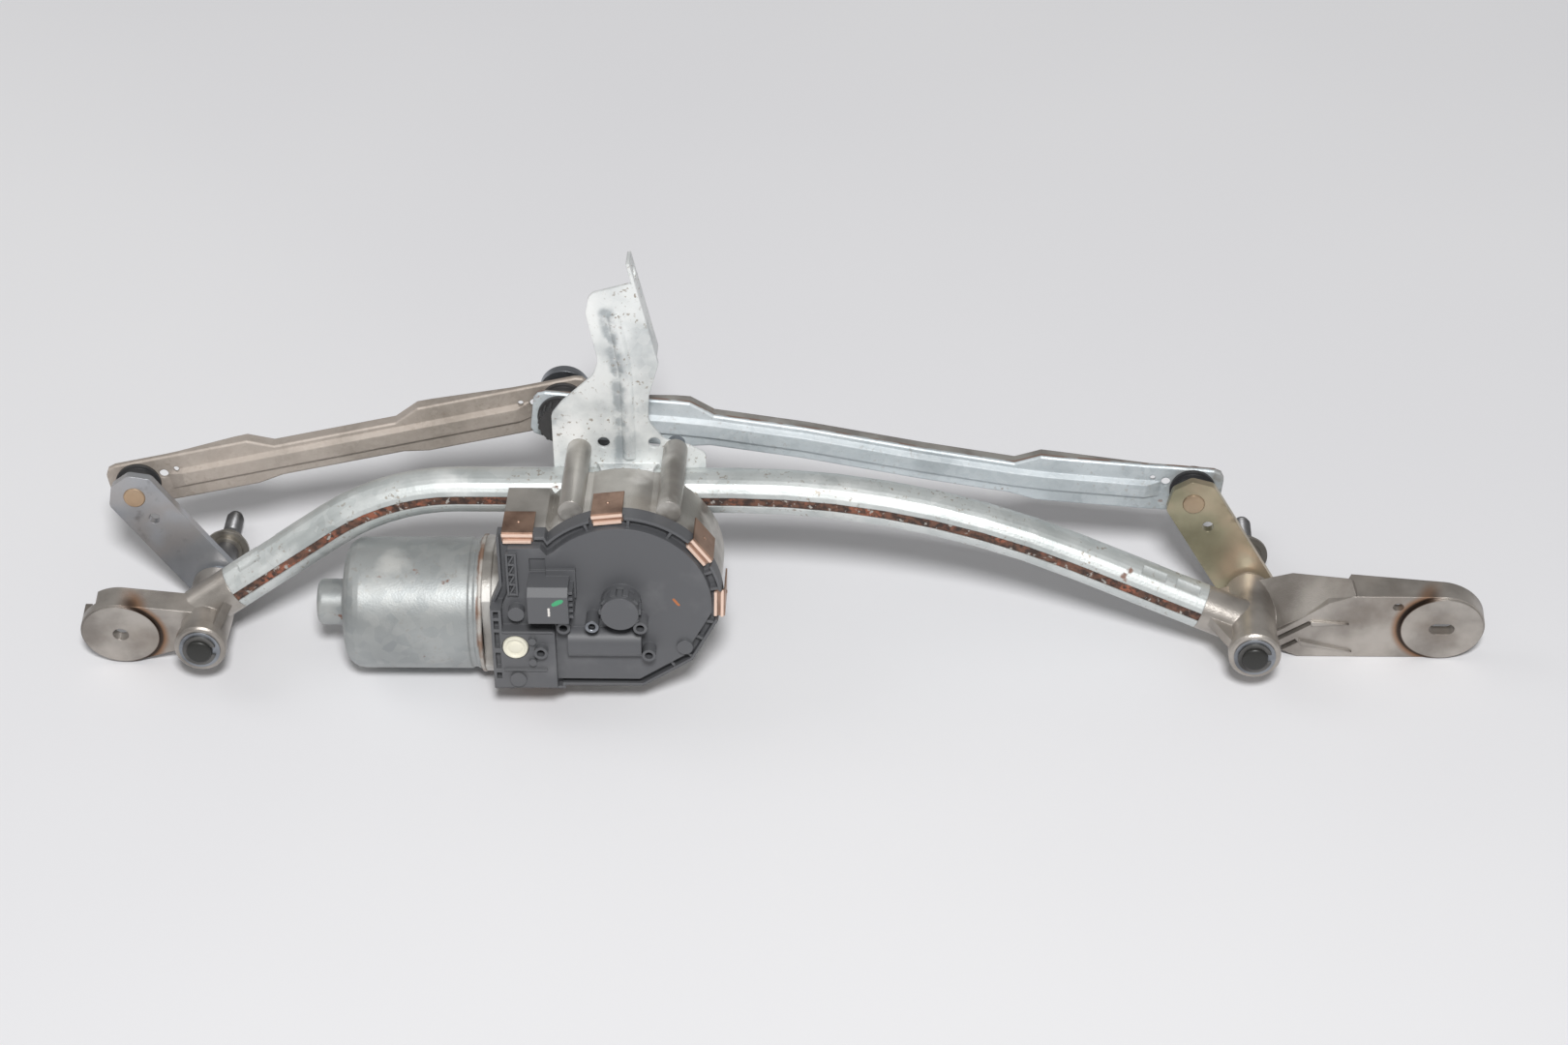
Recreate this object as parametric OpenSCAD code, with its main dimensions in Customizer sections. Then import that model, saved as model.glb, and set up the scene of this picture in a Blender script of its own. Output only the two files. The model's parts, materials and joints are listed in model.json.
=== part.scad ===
// Wiper linkage: a geared motor turns a crank that swings two wiper shafts through two rods.
// The linkage is drawn with X along the line of the shafts, Y up the arch of the tube and Z
// along the shafts towards the motor cover. stand() then sets it upright on a table.

/* [Layout] */
// Distance between the two wiper shaft axes
pivot_spacing = 580; // [570:1:590]
// Motor output axis, left of the middle between the shafts
motor_offset = 54; // [50:0.5:58]
// Motor output axis above the line through the shafts
motor_rise = 44; // [43:0.25:45]
// Lean of the linkage when it stands on a table
lean = 11.5; // [11:0.25:12]

/* [Tube] */
// Outer diameter of the frame tube
tube_d = 25; // [24:0.25:26]
// Wall of the frame tube
tube_wall = 2; // [1.5:0.1:2.5]
// Width of the open seam along the tube
seam_width = 5.5; // [4:0.25:6]
// Rise of the straight middle of the tube, in the plane of the tube
tube_rise = 75; // [74:0.5:78]
// Tilt of the plane of the tube
tube_tilt = 18.5; // [17:0.5:20]
// Depth of the tube's plane at the line of the shafts
tube_depth = 30.5; // [29:0.5:32]
// Slope of the left end of the tube
left_slope = 33; // [31:0.5:35]
// Slope of the right end of the tube
right_slope = 22; // [20:0.5:24]
// Bend radius on the left
left_bend_r = 130; // [115:1:140]
// Bend radius on the right
right_bend_r = 500; // [450:5:520]
// Length of the casting's spigot in each tube end
spigot_len = 34; // [28:1:40]

/* [Pivot housings] */
// Outer diameter of a bearing barrel
barrel_d = 27; // [26:0.25:29]
// Length of a bearing barrel
barrel_len = 62; // [60:0.5:64]
// Diameter of the wiper shafts
shaft_d = 14; // [13:0.25:15]
// Wall of the bearing bushes
bush_wall = 2; // [1.5:0.1:2.5]
// Length of one bearing bush
bush_len = 16; // [12:0.5:20]
// Diameter of the left mounting pad
left_pad_d = 45; // [42:0.5:46]
// Diameter of the right mounting pad
right_pad_d = 47.5; // [45:0.5:48]
// Diameter of the round mounting hole
left_hole_d = 9; // [7:0.25:11]
// Width of the mounting slot
slot_width = 8.5; // [7:0.25:10]
// Length of the mounting slot
slot_len = 14; // [12:0.25:16]
// Thickness of the mounting pads
pad_t = 5; // [4:0.25:6]

/* [Levers and rods] */
// Left lever, shaft to ball
left_lever_len = 71; // [68:0.5:74]
// Rest angle of the left lever
left_lever_angle = 125.5; // [124:0.25:127]
// Right lever, shaft to ball
right_lever_len = 66; // [64:0.5:68]
// Rest angle of the right lever
right_lever_angle = 119.5; // [118:0.25:121]
// Motor crank, output axis to ball
crank_len = 69; // [67:0.5:70]
// Rest angle of the motor crank
crank_angle = 123.5; // [122:0.25:125]
// Thickness of the levers
lever_t = 5; // [4:0.25:6]
// Width of the levers
lever_width = 30; // [28:0.5:32]
// Thickness of the motor crank
crank_t = 6; // [5:0.25:7]
// Diameter of the joint balls
ball_d = 13; // [12:0.25:13.5]
// Clearance round a lever ball in its socket
ball_clearance = 0.3; // [0.2:0.05:0.5]
// Clearance round a crank ball in its socket
crank_ball_clearance = 2; // [1.8:0.1:2.3]
// Width of the rods at their ends
rod_width = 30; // [28:0.5:32]
// Sheet thickness of the rods
rod_sheet = 2; // [1.5:0.1:2.2]
// Depth of the folded edges of the rods
rod_depth = 8; // [6:0.5:9]

/* [Motor] */
// Outer diameter of the motor yoke
yoke_d = 72.8; // [70:0.2:73]
// Length of the motor yoke
yoke_len = 78; // [74:1:80]
// Wall of the motor yoke
yoke_wall = 2; // [1.5:0.1:2.5]
// Teeth on the worm wheel
wheel_teeth = 52; // [50:1:53]
// Tooth module
gear_module = 1; // [0.96:0.02:1.02]
// Pitch diameter of the worm
worm_d = 12; // [11:0.25:12.5]
// Depth of the gear housing
gear_depth = 42; // [41:0.5:44]
// Wall of the gear housing
gear_wall = 3; // [2.5:0.1:3.5]
// Radius of the round end of the cover
cover_r = 55; // [54:0.25:57]
// Height of the cover above the housing rim
cover_height = 12; // [11:0.5:14]
// Wall of the cover
cover_wall = 2.5; // [2:0.1:3]
// Diameter of the output shaft
output_d = 12; // [11:0.25:13]

/* [Bracket] */
// Sheet thickness of the middle bracket
bracket_t = 2; // [1.5:0.1:2.5]
// Rise of the bracket's fixing arm above the tube's middle
bracket_rise = 127; // [120:1:132]
// Distance between the two motor posts
post_spacing = 53; // [50:0.5:55]
// Diameter of the motor posts
post_d = 13.4; // [12.5:0.1:14]
// Diameter of the hole in the bracket's lug
lug_hole_d = 7; // [6:0.25:8]

/* [Hidden] */
$fn = 64;

// Finishes
zinc = [0.72, 0.75, 0.76];
rod_steel = [0.62, 0.58, 0.53];
cast_metal = [0.60, 0.59, 0.57];
dark_plastic = [0.16, 0.17, 0.18];
steel = [0.55, 0.57, 0.60];
dark_steel = [0.25, 0.25, 0.26];
copper = [0.55, 0.36, 0.25];
bronze = [0.66, 0.49, 0.28];

// Running and press clearances
run_gap = 0.05;
spigot_gap = 0.1;
tiny = 0.01;

// Tube
tube_r = tube_d / 2;
tube_in_r = tube_r - tube_wall;
pivot_x = pivot_spacing / 2;
left_end = [-pivot_x + 16, 18.2];
right_end = [pivot_x - 28, 10.7];
left_straight = (tube_rise - left_end.y - left_bend_r * (1 - cos(left_slope))) / sin(left_slope);
right_straight = (tube_rise - right_end.y - right_bend_r * (1 - cos(right_slope))) / sin(right_slope);
left_bend_x = left_end.x + left_straight * cos(left_slope) + left_bend_r * sin(left_slope);
right_bend_x = right_end.x - right_straight * cos(right_slope) - right_bend_r * sin(right_slope);
tube_top_y = tube_rise * cos(tube_tilt);
tube_top_z = -tube_depth - tube_rise * sin(tube_tilt);
seam_angle = 90 + tube_tilt;

// Shafts and levers
barrel_r = barrel_d / 2;
shaft_r = shaft_d / 2;
bush_r = shaft_r + run_gap + bush_wall;
lever_gap = 2;
lever_z = -barrel_len - lever_gap;
lever_back_z = lever_z - lever_t;
cap_z = lever_back_z - 31;
cap_r = 12.7;
thread_r = 5;
thread_len = 18;
tip_z = lever_back_z - 62;
ball_r = ball_d / 2;
ball_z = lever_back_z - 9;
ball_neck_r = 4.3;
rivet_r = 5;
washer_gap = 0.1;
groove_low = 0.8;
groove_r = shaft_r - 0.9;

// Motor
motor_x = -motor_offset;
output_r = output_d / 2;
floor_z = tube_top_z + tube_r + 1.9;
rim_z = floor_z + gear_depth;
cover_z = rim_z + cover_height;
wheel_t = 12;
wheel_pitch_r = gear_module * wheel_teeth / 2;
worm_r = worm_d / 2;
worm_z = floor_z + gear_wall + 1 + wheel_t / 2;
worm_y = motor_rise - wheel_pitch_r - worm_r;
armature_r = 4;
yoke_r = yoke_d / 2;
yoke_x = motor_x - 78;
yoke_lip = 1.8;
cover_drop = 2.5;
connector_at = [motor_x - 38, motor_rise + 7.5];
connector_size = [22, 21, 18];
post_r = post_d / 2;
post_y = tube_top_y + tube_r + 2.6 + post_r;

// Bracket, crank and rod ends
bracket_z = tube_top_z - 7.6;
bracket_back_z = bracket_z - bracket_t;
screw_head_t = 4.5;
socket_r = 11;
socket_flange_r = 12.8;
snap = 0.9;
crank_cavity_r = ball_r + crank_ball_clearance;
near_ball_z = bracket_back_z - screw_head_t - 3.6 - crank_cavity_r - 1.2;
far_ball_z = near_ball_z - 14;
crank_z = far_ball_z - 11;
crank_back_z = crank_z - crank_t;
crank_nose_r = 14;

function polar(r, a) = [r * cos(a), r * sin(a)];
left_pivot = [-pivot_x, 0];
right_pivot = [pivot_x, 0];
output_axis = [motor_x, motor_rise];
left_ball = left_pivot + polar(left_lever_len, left_lever_angle);
right_ball = right_pivot + polar(right_lever_len, right_lever_angle);
crank_ball = output_axis + polar(crank_len, crank_angle);

// Mounting pads: centre of each front face
left_pad = [-pivot_x - 48, -5, -20.5];
right_pad = [pivot_x + 104.4, -2.3, -30.5];

// Place on the table: the lip of the yoke and the two shaft caps reach the ground
lip_low = worm_y * cos(lean) + worm_z * sin(lean) - yoke_r - yoke_lip;
cap_low = -cap_r * cos(lean) + cap_z * sin(lean);
ground = min(lip_low, cap_low);
middle_x = (left_pad.x - left_pad_d / 2 + right_pad.x + right_pad_d / 2) / 2;
front_y = (connector_at.y - connector_size.y / 2) * sin(lean) - (cover_z + connector_size.z) * cos(lean);
back_y = (crank_ball.y + crank_nose_r) * sin(lean) - crank_back_z * cos(lean);
middle_y = (front_y + back_y) / 2;

module stand() {
  translate([-middle_x, -middle_y, -ground])
    rotate([90 - lean, 0, 0])
      children();
}

// Points of a rounded outline: each corner is [x, y, radius]
function turn(a) = a > 180 ? a - 360 : a < -180 ? a + 360 : a;
function heading(v) = atan2(v.y, v.x);
function xy(p) = [p.x, p.y];
function corner_arc(a, b, c) =
  let (u = (xy(a) - xy(b)) / norm(xy(a) - xy(b)),
       v = (xy(c) - xy(b)) / norm(xy(c) - xy(b)),
       half = acos(u * v) / 2,
       mid = xy(b) + (u + v) / norm(u + v) * b[2] / sin(half),
       from = heading(xy(b) + u * b[2] / tan(half) - mid),
       sweep = turn(heading(xy(b) + v * b[2] / tan(half) - mid) - from))
  b[2] == 0 ? [xy(b)] : [for (i = [0:5]) mid + polar(b[2], from + sweep * i / 5)];
function rounded(p) =
  [for (i = [0:len(p) - 1]) each corner_arc(p[(i + len(p) - 1) % len(p)], p[i], p[(i + 1) % len(p)])];

// Plate outline round two circles, with straight sides that touch both
module link_outline(a, ra, b, rb) {
  span = norm(b - a);
  base = heading(b - a);
  side = acos((ra - rb) / span);
  sink = 0.03;
  translate(a) circle(ra);
  translate(b) circle(rb);
  polygon([a + polar(ra - sink, base + side), a + polar(ra - sink, base - side),
    b + polar(rb - sink, base - side), b + polar(rb - sink, base + side)]);
}

module ring(r_out, r_in, h) {
  difference() {
    cylinder(r = r_out, h = h);
    translate([0, 0, -1]) cylinder(r = r_in, h = h + 2);
  }
}

// Skin over closed sections that all have the same number of points
module loft(sections) {
  n = len(sections[0]);
  last = len(sections) - 1;
  points = [for (s = sections) each s];
  sides = [for (k = [0:last - 1], i = [0:n - 1])
    let (j = (i + 1) % n) each [[k * n + i, k * n + j, (k + 1) * n + j],
      [k * n + i, (k + 1) * n + j, (k + 1) * n + i]]];
  ends = [for (i = [0:n / 2 - 2], e = [0, last * n])
    let (quad = [e + i, e + i + 1, e + n - 2 - i, e + n - 1 - i], q = e == 0 ? [3, 2, 1, 0] : [0, 1, 2, 3])
    each [[quad[q[0]], quad[q[1]], quad[q[2]]], [quad[q[0]], quad[q[2]], quad[q[3]]]]];
  polyhedron(points, concat(sides, ends), convexity = 6);
}

// The tube lies in its own tilted plane
module tube_plane() {
  translate([0, 0, -tube_depth]) rotate([-tube_tilt, 0, 0]) children();
}

// Stations along the tube: [place, heading]
function bend_stations(x, r, from, to, count) =
  [for (i = [0:count]) let (h = from + (to - from) * i / count)
    [[x - r * sin(h), tube_rise - r * (1 - cos(h))], h]];
tube_stations = concat([[left_end, left_slope]],
  bend_stations(left_bend_x, left_bend_r, left_slope, 0, 7),
  bend_stations(right_bend_x, right_bend_r, 0, -right_slope, 7), [[right_end, -right_slope]]);

// Open ring of the tube's sheet across a station
function tube_section(station) =
  let (count = 28, half = asin(seam_width / 2 / tube_r), step = (360 - 2 * half) / count,
    up = [-sin(station[1]), cos(station[1])])
  [for (r = [tube_r, tube_in_r], i = [0:count])
    let (a = seam_angle + half + step * (r == tube_r ? i : count - i), p = station[0] + up * r * cos(a))
    [p.x, p.y, r * sin(a)]];

// Crimped dents hold each tube end on its spigot
module crimp(from, slope, reach, side) {
  dent_r = 8;
  dent_depth = 1.1;
  dent_len = 14;
  translate(from) rotate([0, 0, slope]) translate([reach, 0, 0]) rotate([side, 0, 0])
    translate([-dent_len / 2, 0, tube_r + dent_r - dent_depth])
      rotate([0, 90, 0]) cylinder(r = dent_r, h = dent_len);
}

module frame_tube() {
  front = -48;
  top = -95;
  stand() color(zinc) tube_plane() difference() {
    loft([for (station = tube_stations) tube_section(station)]);
    crimp(left_end, left_slope, 17, front);
    crimp(left_end, left_slope, 29, top);
    for (reach = [-12, -32]) crimp(right_end, -right_slope, reach, front);
    crimp(right_end, -right_slope, -23, top);
  }
}

// Cast end: bearing barrel, spigot in the tube and ribs between them
module barrel_casting(pivot_sign, end, slope) {
  neck_len = 26;
  rib_t = 5;
  into = pivot_sign < 0 ? slope : 180 - slope;
  reach = norm([end.x - pivot_sign * pivot_x, end.y]);
  rib_turn = heading([end.x - pivot_sign * pivot_x, end.y * cos(tube_tilt)]);
  neck_z = -tube_depth - end.y * sin(tube_tilt);
  translate([pivot_sign * pivot_x, 0, 0]) rotate([180, 0, 0]) barrel();
  tube_plane() translate(end) rotate([0, 0, into]) rotate([0, 90, 0]) {
    cylinder(r = tube_in_r - spigot_gap, h = spigot_len);
    translate([0, 0, -neck_len]) cylinder(r = tube_r, h = neck_len);
  }
  translate([pivot_sign * pivot_x, 0, 0]) rotate([0, 0, rib_turn]) rotate([90, 0, 0])
    linear_extrude(rib_t, center = true)
      polygon([[0, -4], [barrel_r, -4], [reach - 4, neck_z + tube_r], [reach - 4, neck_z - tube_r],
        [barrel_r, 4 - barrel_len], [0, 4 - barrel_len]]);
}

module barrel() {
  lip = 0.8;
  chamfer = 1.2;
  rotate_extrude()
    polygon([[0, 0], [barrel_r + lip - chamfer, 0], [barrel_r + lip, chamfer], [barrel_r + lip, 7],
      [barrel_r, 8], [barrel_r, barrel_len - chamfer], [barrel_r - chamfer, barrel_len],
      [0, barrel_len]]);
}

// Bore of a barrel for its two bushes
module barrel_bore(x) {
  translate([x, 0, -barrel_len - 1]) cylinder(r = bush_r, h = barrel_len + 2);
}

// Mounting pads face level, across the lean of the linkage
module pad_plane(pad) {
  translate(pad) rotate([lean, 0, 0]) children();
}

module left_pivot_housing() {
  wall_t = 3.5;
  wall_depth = 15;
  wall_from = 4;
  notch = 8;
  pad_lift = 1;
  boss_r = left_pad_d / 2;
  root = [-left_pad.x - pivot_x, -left_pad.y];
  root_r = barrel_r - 2;
  stand() color(cast_metal) difference() {
    union() {
      barrel_casting(-1, left_end, left_slope);
      pad_plane(left_pad) {
        translate([0, 0, -pad_t]) cylinder(r = boss_r - 0.8, h = pad_t);
        translate([0, 0, -pad_t - pad_lift]) linear_extrude(pad_t)
          link_outline([0, 0], boss_r, root, root_r);
        translate([0, 0, -wall_depth]) linear_extrude(wall_depth - pad_lift - 1) difference() {
          link_outline([0, 0], boss_r, root, root_r);
          link_outline([0, 0], boss_r - wall_t, root, root_r - wall_t);
          translate([-2 * boss_r, wall_from - 3 * boss_r]) square([6 * boss_r, 3 * boss_r]);
          translate([2 - boss_r, wall_from + 5]) square([notch, boss_r]);
        }
      }
    }
    barrel_bore(-pivot_x);
    pad_plane(left_pad) translate([0, 0, -pad_t - 2]) cylinder(d = left_hole_d, h = pad_t + 4);
  }
}

module right_pivot_housing() {
  wall_t = 3.5;
  wall_depth = 20;
  rim_depth = 9;
  pad_lift = 1.5;
  pad_step = 0.8;
  boss_r = right_pad_d / 2;
  locating_hole_r = 3;
  slot_reach = (slot_len - slot_width) / 2;
  web_from = [-100, -8];
  web_turn = 32.4;
  web_lean = 29;
  vent_w = 3.2;
  vent_turn = 36;
  vents = [[-89, -11.2, 22], [-88.5, -20.2, 13]];
  ribs = [[[-72, 5], [-72, 1.4], [-51, 3.1]], [[-78, -10], [-76.5, -13.6], [-48, -18.9]]];
  stand() color(cast_metal) difference() {
    union() {
      barrel_casting(1, right_end, right_slope);
      pad_plane(right_pad) {
        translate([0, 0, -pad_t]) cylinder(r = boss_r - pad_step, h = pad_t);
        difference() {
          intersection() {
            translate([0, 0, -wall_depth]) linear_extrude(wall_depth - pad_lift) right_ear(0);
            rotate([90, 0, 0]) linear_extrude(4 * boss_r, center = true)
              polygon([[-105, 0], [-105, -rim_depth], [-56, -rim_depth], [-50, 1 - wall_depth], [0, -13.5],
                [boss_r + 1, -10.5], [boss_r + 1, 0]]);
          }
          translate([0, 0, -wall_depth - 1]) linear_extrude(wall_depth + 1 - pad_lift - pad_t)
            right_ear(wall_t);
          translate([-72, -3 * boss_r, -wall_depth - 1])
            cube([4 * boss_r, 3 * boss_r + 4, wall_depth + 1 - rim_depth]);
        }
        translate([web_from.x, web_from.y, -pad_lift - 0.3]) rotate([0, 0, web_turn])
          rotate([90 + web_lean, 0, 0])
          linear_extrude(wall_t) polygon([[0, 0], [61, 0], [61, -10], [30, -26], [0, -32]]);
        for (rib = ribs) translate([0, 0, -pad_lift - 1]) linear_extrude(2.4) polygon(rib);
      }
    }
    barrel_bore(pivot_x);
    pad_plane(right_pad) {
      translate([0, 0, -pad_t - 4]) linear_extrude(pad_t + 8)
        link_outline([-slot_reach, 0], slot_width / 2, [slot_reach, 0], slot_width / 2);
      translate([-boss_r - 1, boss_r - 8, -rim_depth - 1]) cylinder(r = locating_hole_r, h = rim_depth + 2);
      for (vent = vents) translate([vent.x, vent.y, -rim_depth - 2]) rotate([0, 0, vent_turn])
        cube([vent.z, vent_w, rim_depth + 3]);
    }
  }
}

// Outline of the right ear; inset moves every side inwards
module right_ear(inset) {
  boss_r = right_pad_d / 2;
  side = boss_r - inset - 0.03;
  circle(boss_r - inset);
  polygon([[0, -side], [-78, -side], [-92 + 1.2 * inset, 0.6 * inset - 16], [-98 + 1.2 * inset, -9],
    [-87.5 + 1.2 * inset, -2.2 - 0.4 * inset], [-63 + 0.7 * inset, 18.2 - 1.1 * inset], [-50, side],
      [0, side]]);
}

module shaft_bushes(x) {
  stand() color(bronze) translate([x, 0, 0])
    for (z = [-1.5 - bush_len, -barrel_len]) translate([0, 0, z])
      ring(bush_r, shaft_r + run_gap, bush_len);
}

module left_shaft_bushes() { shaft_bushes(-pivot_x); }
module right_shaft_bushes() { shaft_bushes(pivot_x); }

// Wiper shaft: plain bearing length, knurled cone and threaded end
module wiper_shaft(x) {
  near_end = 4;
  groove_top = 2.2;
  cone_r = 6.2;
  stand() color(dark_steel) translate([x, 0, 0]) rotate_extrude()
    polygon([[0, near_end], [shaft_r - 0.8, near_end], [shaft_r, near_end - 0.8], [shaft_r, groove_top],
      [groove_r, groove_top], [groove_r, groove_low], [shaft_r, groove_low],
      [shaft_r, cap_z - 6], [cone_r, cap_z - 6], [cone_r - 1, tip_z + thread_len + 1],
      [thread_r - 0.6, tip_z + thread_len + 1], [thread_r - 0.6, tip_z + thread_len],
      [thread_r, tip_z + thread_len], [thread_r, tip_z + 1], [thread_r - 0.9, tip_z], [0, tip_z]]);
}

module left_shaft() { wiper_shaft(-pivot_x); }
module right_shaft() { wiper_shaft(pivot_x); }

// Flat lever with clipped corners round the ball rivet
module lever(pivot, length, angle, tint) {
  half = lever_width / 2;
  nose = 13;
  clip = 9;
  small_hole_r = 3.2;
  small_hole_back = 17;
  stand() color(tint) translate([pivot.x, pivot.y, lever_back_z]) rotate([0, 0, angle])
    linear_extrude(lever_t) difference() {
      union() {
        circle(half);
        polygon(rounded([[0, -half, 0], [length + nose - clip, -half, 4], [length + nose, -half + clip, 4],
          [length + nose, half - clip, 4], [length + nose - clip, half, 4], [0, half, 0]]));
      }
      circle(shaft_r);
      translate([length, 0]) circle(rivet_r);
      translate([length - small_hole_back, 0]) circle(small_hole_r);
    }
}

module left_lever() { lever(left_pivot, left_lever_len, left_lever_angle, steel); }
module right_lever() { lever(right_pivot, right_lever_len, right_lever_angle, [0.62, 0.60, 0.50]); }

// Ball stud riveted through a lever, ball on the far side
module lever_ball(centre) {
  head_r = 6.2;
  head_t = 0.8;
  collar_t = 2;
  stand() color(steel) translate([centre.x, centre.y, 0]) {
    translate([0, 0, lever_z]) cylinder(r1 = head_r, r2 = head_r - 0.6, h = head_t);
    translate([0, 0, lever_back_z]) cylinder(r = rivet_r, h = lever_t + tiny);
    translate([0, 0, lever_back_z - collar_t]) cylinder(r = rivet_r + 1.3, h = collar_t);
    translate([0, 0, ball_z]) cylinder(r = ball_neck_r, h = lever_back_z - ball_z);
    translate([0, 0, ball_z]) sphere(ball_r);
  }
}

module left_lever_ball() { lever_ball(left_ball); }
module right_lever_ball() { lever_ball(right_ball); }

// Cup on each shaft that keeps water out of the scuttle seal
module shaft_cap(x) {
  cap_len = 9;
  cap_wall = 1.6;
  stand() color(dark_steel) translate([x, 0, cap_z]) rotate_extrude()
    polygon([[shaft_r, -5], [shaft_r + 3, -5], [cap_r - 2.5, -1.5], [cap_r, 0], [cap_r, cap_wall],
      [cap_r - 3.4, cap_wall], [shaft_r + 2.2, -2], [shaft_r + 2.2, cap_len - 5], [shaft_r, cap_len - 5]]);
}

module left_shaft_cap() { shaft_cap(-pivot_x); }
module right_shaft_cap() { shaft_cap(pivot_x); }

// Thrust washers at both ends of the barrel
module shaft_washers(x) {
  washer_r = 11.4;
  stand() color(steel) translate([x, 0, 0]) {
    translate([0, 0, washer_gap]) ring(washer_r, shaft_r + run_gap, groove_low - washer_gap);
    translate([0, 0, lever_z]) ring(washer_r, shaft_r + run_gap, lever_gap - washer_gap);
  }
}

module left_shaft_washers() { shaft_washers(-pivot_x); }
module right_shaft_washers() { shaft_washers(pivot_x); }

module shaft_clip(x) {
  clip_r = 9.3;
  clip_t = 1.2;
  stand() color(dark_steel) translate([x, 0, groove_low]) difference() {
    ring(clip_r, groove_r, clip_t);
    translate([0, -2.5, -1]) cube([clip_r + 1, 5, clip_t + 2]);
  }
}

module left_shaft_clip() { shaft_clip(-pivot_x); }
module right_shaft_clip() { shaft_clip(pivot_x); }

// Rods: each has its own frame from its left ball to its right ball
left_rod_from = [left_ball.x, left_ball.y, ball_z];
left_rod_to = [crank_ball.x, crank_ball.y, far_ball_z];
right_rod_from = [crank_ball.x, crank_ball.y, near_ball_z];
right_rod_to = [right_ball.x, right_ball.y, ball_z];

module rod_frame(from, to) {
  run = to - from;
  translate(from) rotate([0, 0, heading(run)]) rotate([0, -atan2(run.z, norm(xy(run))), 0]) children();
}

// Stamped section: folded edges behind a web that carries a raised bead
web_z = -1;
bead_foot = 0.08;
function rod_section(x, mid, top, low, depth, bead) =
  let (t = rod_sheet, bend = 0.9, bead_top = mid + 2.2, bead_low = mid - 5.5, ramp = 2,
    outer = [[top, -depth], [top, -bend], [top - bend, 0], [bead_top + ramp, 0], [bead_top, bead],
      [bead_low, bead], [bead_low - ramp, 0], [low + bend, 0], [low, -bend], [low, -depth]],
    inner = [[low + t, -depth], [low + t, -t - bend], [low + t + bend, -t],
      [bead_low - ramp + 0.6, -t], [bead_low + 0.6, bead - t], [bead_top - 0.6, bead - t],
      [bead_top + ramp - 0.6, -t], [top - t - bend, -t], [top - t, -t - bend], [top - t, -depth]])
  let (edge = concat(outer, inner))
  [for (i = [len(edge) - 1:-1:0]) [x, edge[i][0], edge[i][1] + web_z]];

function smooth(a, b, x) = let (u = min(1, max(0, (x - a) / (b - a)))) u * u * (3 - 2 * u);

module stamped_rod(length, step_in, step_out, bow) {
  end = 16;
  half = rod_width / 2;
  top_half = half - 1.5;
  waist_top = 7;
  waist_low = 12.5;
  bead_height = 2.6;
  bead_from = 18;
  flat_depth = rod_sheet + 1.2;
  stations = [-end, 2 - end, 6 - end, 12, bead_from, bead_from + 8, step_in - 8, step_in, step_in + 7,
    step_in + 14, (2 * step_in + step_out) / 3, (step_in + 2 * step_out) / 3, step_out - 14, step_out - 7,
    step_out, step_out + 8, length - bead_from - 8, length - bead_from, length - 12, length + end - 6,
    length + end - 2, length + end];
  loft([for (x = stations)
    let (waist = smooth(step_in, step_in + 14, x) * (1 - smooth(step_out - 14, step_out, x)),
      nose = max(0, max(-x, x - length) - end + 6) / 6,
      pinch = 5 * (1 - sqrt(1 - nose * nose * 0.99)),
      mid = bow * sin(360 * min(1, max(0, x / length))),
      raise = smooth(bead_from, bead_from + 8, x)
        * (1 - smooth(length - bead_from - 8, length - bead_from, x)),
      bead = bead_foot + (bead_height - bead_foot) * raise)
    rod_section(x, mid, mid + top_half - (top_half - waist_top) * waist - pinch,
      mid - half + (half - waist_low) * waist + pinch,
      flat_depth + (rod_depth - flat_depth) * smooth(bead_from, step_in, x)
        * (1 - smooth(step_out, length - bead_from, x)), bead)]);
}

module rod_holes(length) {
  hole_r = 2.6;
  for (end = [0, length]) {
    translate([end, 0, web_z - rod_sheet - 3]) cylinder(r = socket_r, h = rod_sheet + 8);
    translate([end, 0, web_z - rod_sheet - 3]) cylinder(r = socket_r + snap + 0.4, h = 3);
    away = end == 0 ? 1 : -1;
    translate([end + away * 15.5, 3, web_z - rod_sheet - 3]) cylinder(r = hole_r, h = rod_sheet + 6);
    translate([end + away * 23, 4.5, web_z - rod_sheet - 3]) cylinder(r = hole_r - 1, h = rod_sheet + 8);
  }
}

module rod(from, to, tint, step_in, step_out, bow) {
  length = norm(to - from);
  stand() color(tint) rod_frame(from, to) difference() {
    stamped_rod(length, step_in, length - step_out, bow);
    rod_holes(length);
  }
}

module left_rod() { rod(left_rod_from, left_rod_to, rod_steel, 66, 80, 0); }
module right_rod() { rod(right_rod_from, right_rod_to, zinc, 70, 86, 4); }

// Plastic socket snapped into a rod end, open towards its ball stud
module socket(cavity_r, near_end, far_end, near_mouth_r, far_mouth_r) {
  difference() {
    union() {
      translate([0, 0, far_end]) cylinder(r = socket_r, h = near_end - far_end);
      translate([0, 0, web_z + bead_foot]) cylinder(r = socket_flange_r, h = 2.1);
      translate([0, 0, web_z - rod_sheet - 1.6 - tiny])
        cylinder(r1 = socket_r, r2 = socket_r + snap, h = 1.4);
    }
    sphere(cavity_r);
    if (near_mouth_r > 0) cylinder(r = near_mouth_r, h = near_end + 1);
    if (far_mouth_r > 0) translate([0, 0, far_end - 1]) cylinder(r = far_mouth_r, h = 1 - far_end);
  }
}

lever_cavity_r = ball_r + ball_clearance;
socket_cap = 1.2;
lever_mouth_r = ball_neck_r + 1.5;
crank_neck_r = 4.6;
crank_mouth_r = crank_neck_r + crank_ball_clearance + 0.6;

module lever_socket() {
  socket(lever_cavity_r, ball_r, -lever_cavity_r - socket_cap, lever_mouth_r, 0);
}

module left_rod_outer_socket() {
  stand() color(dark_plastic) rod_frame(left_rod_from, left_rod_to) lever_socket();
}

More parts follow.
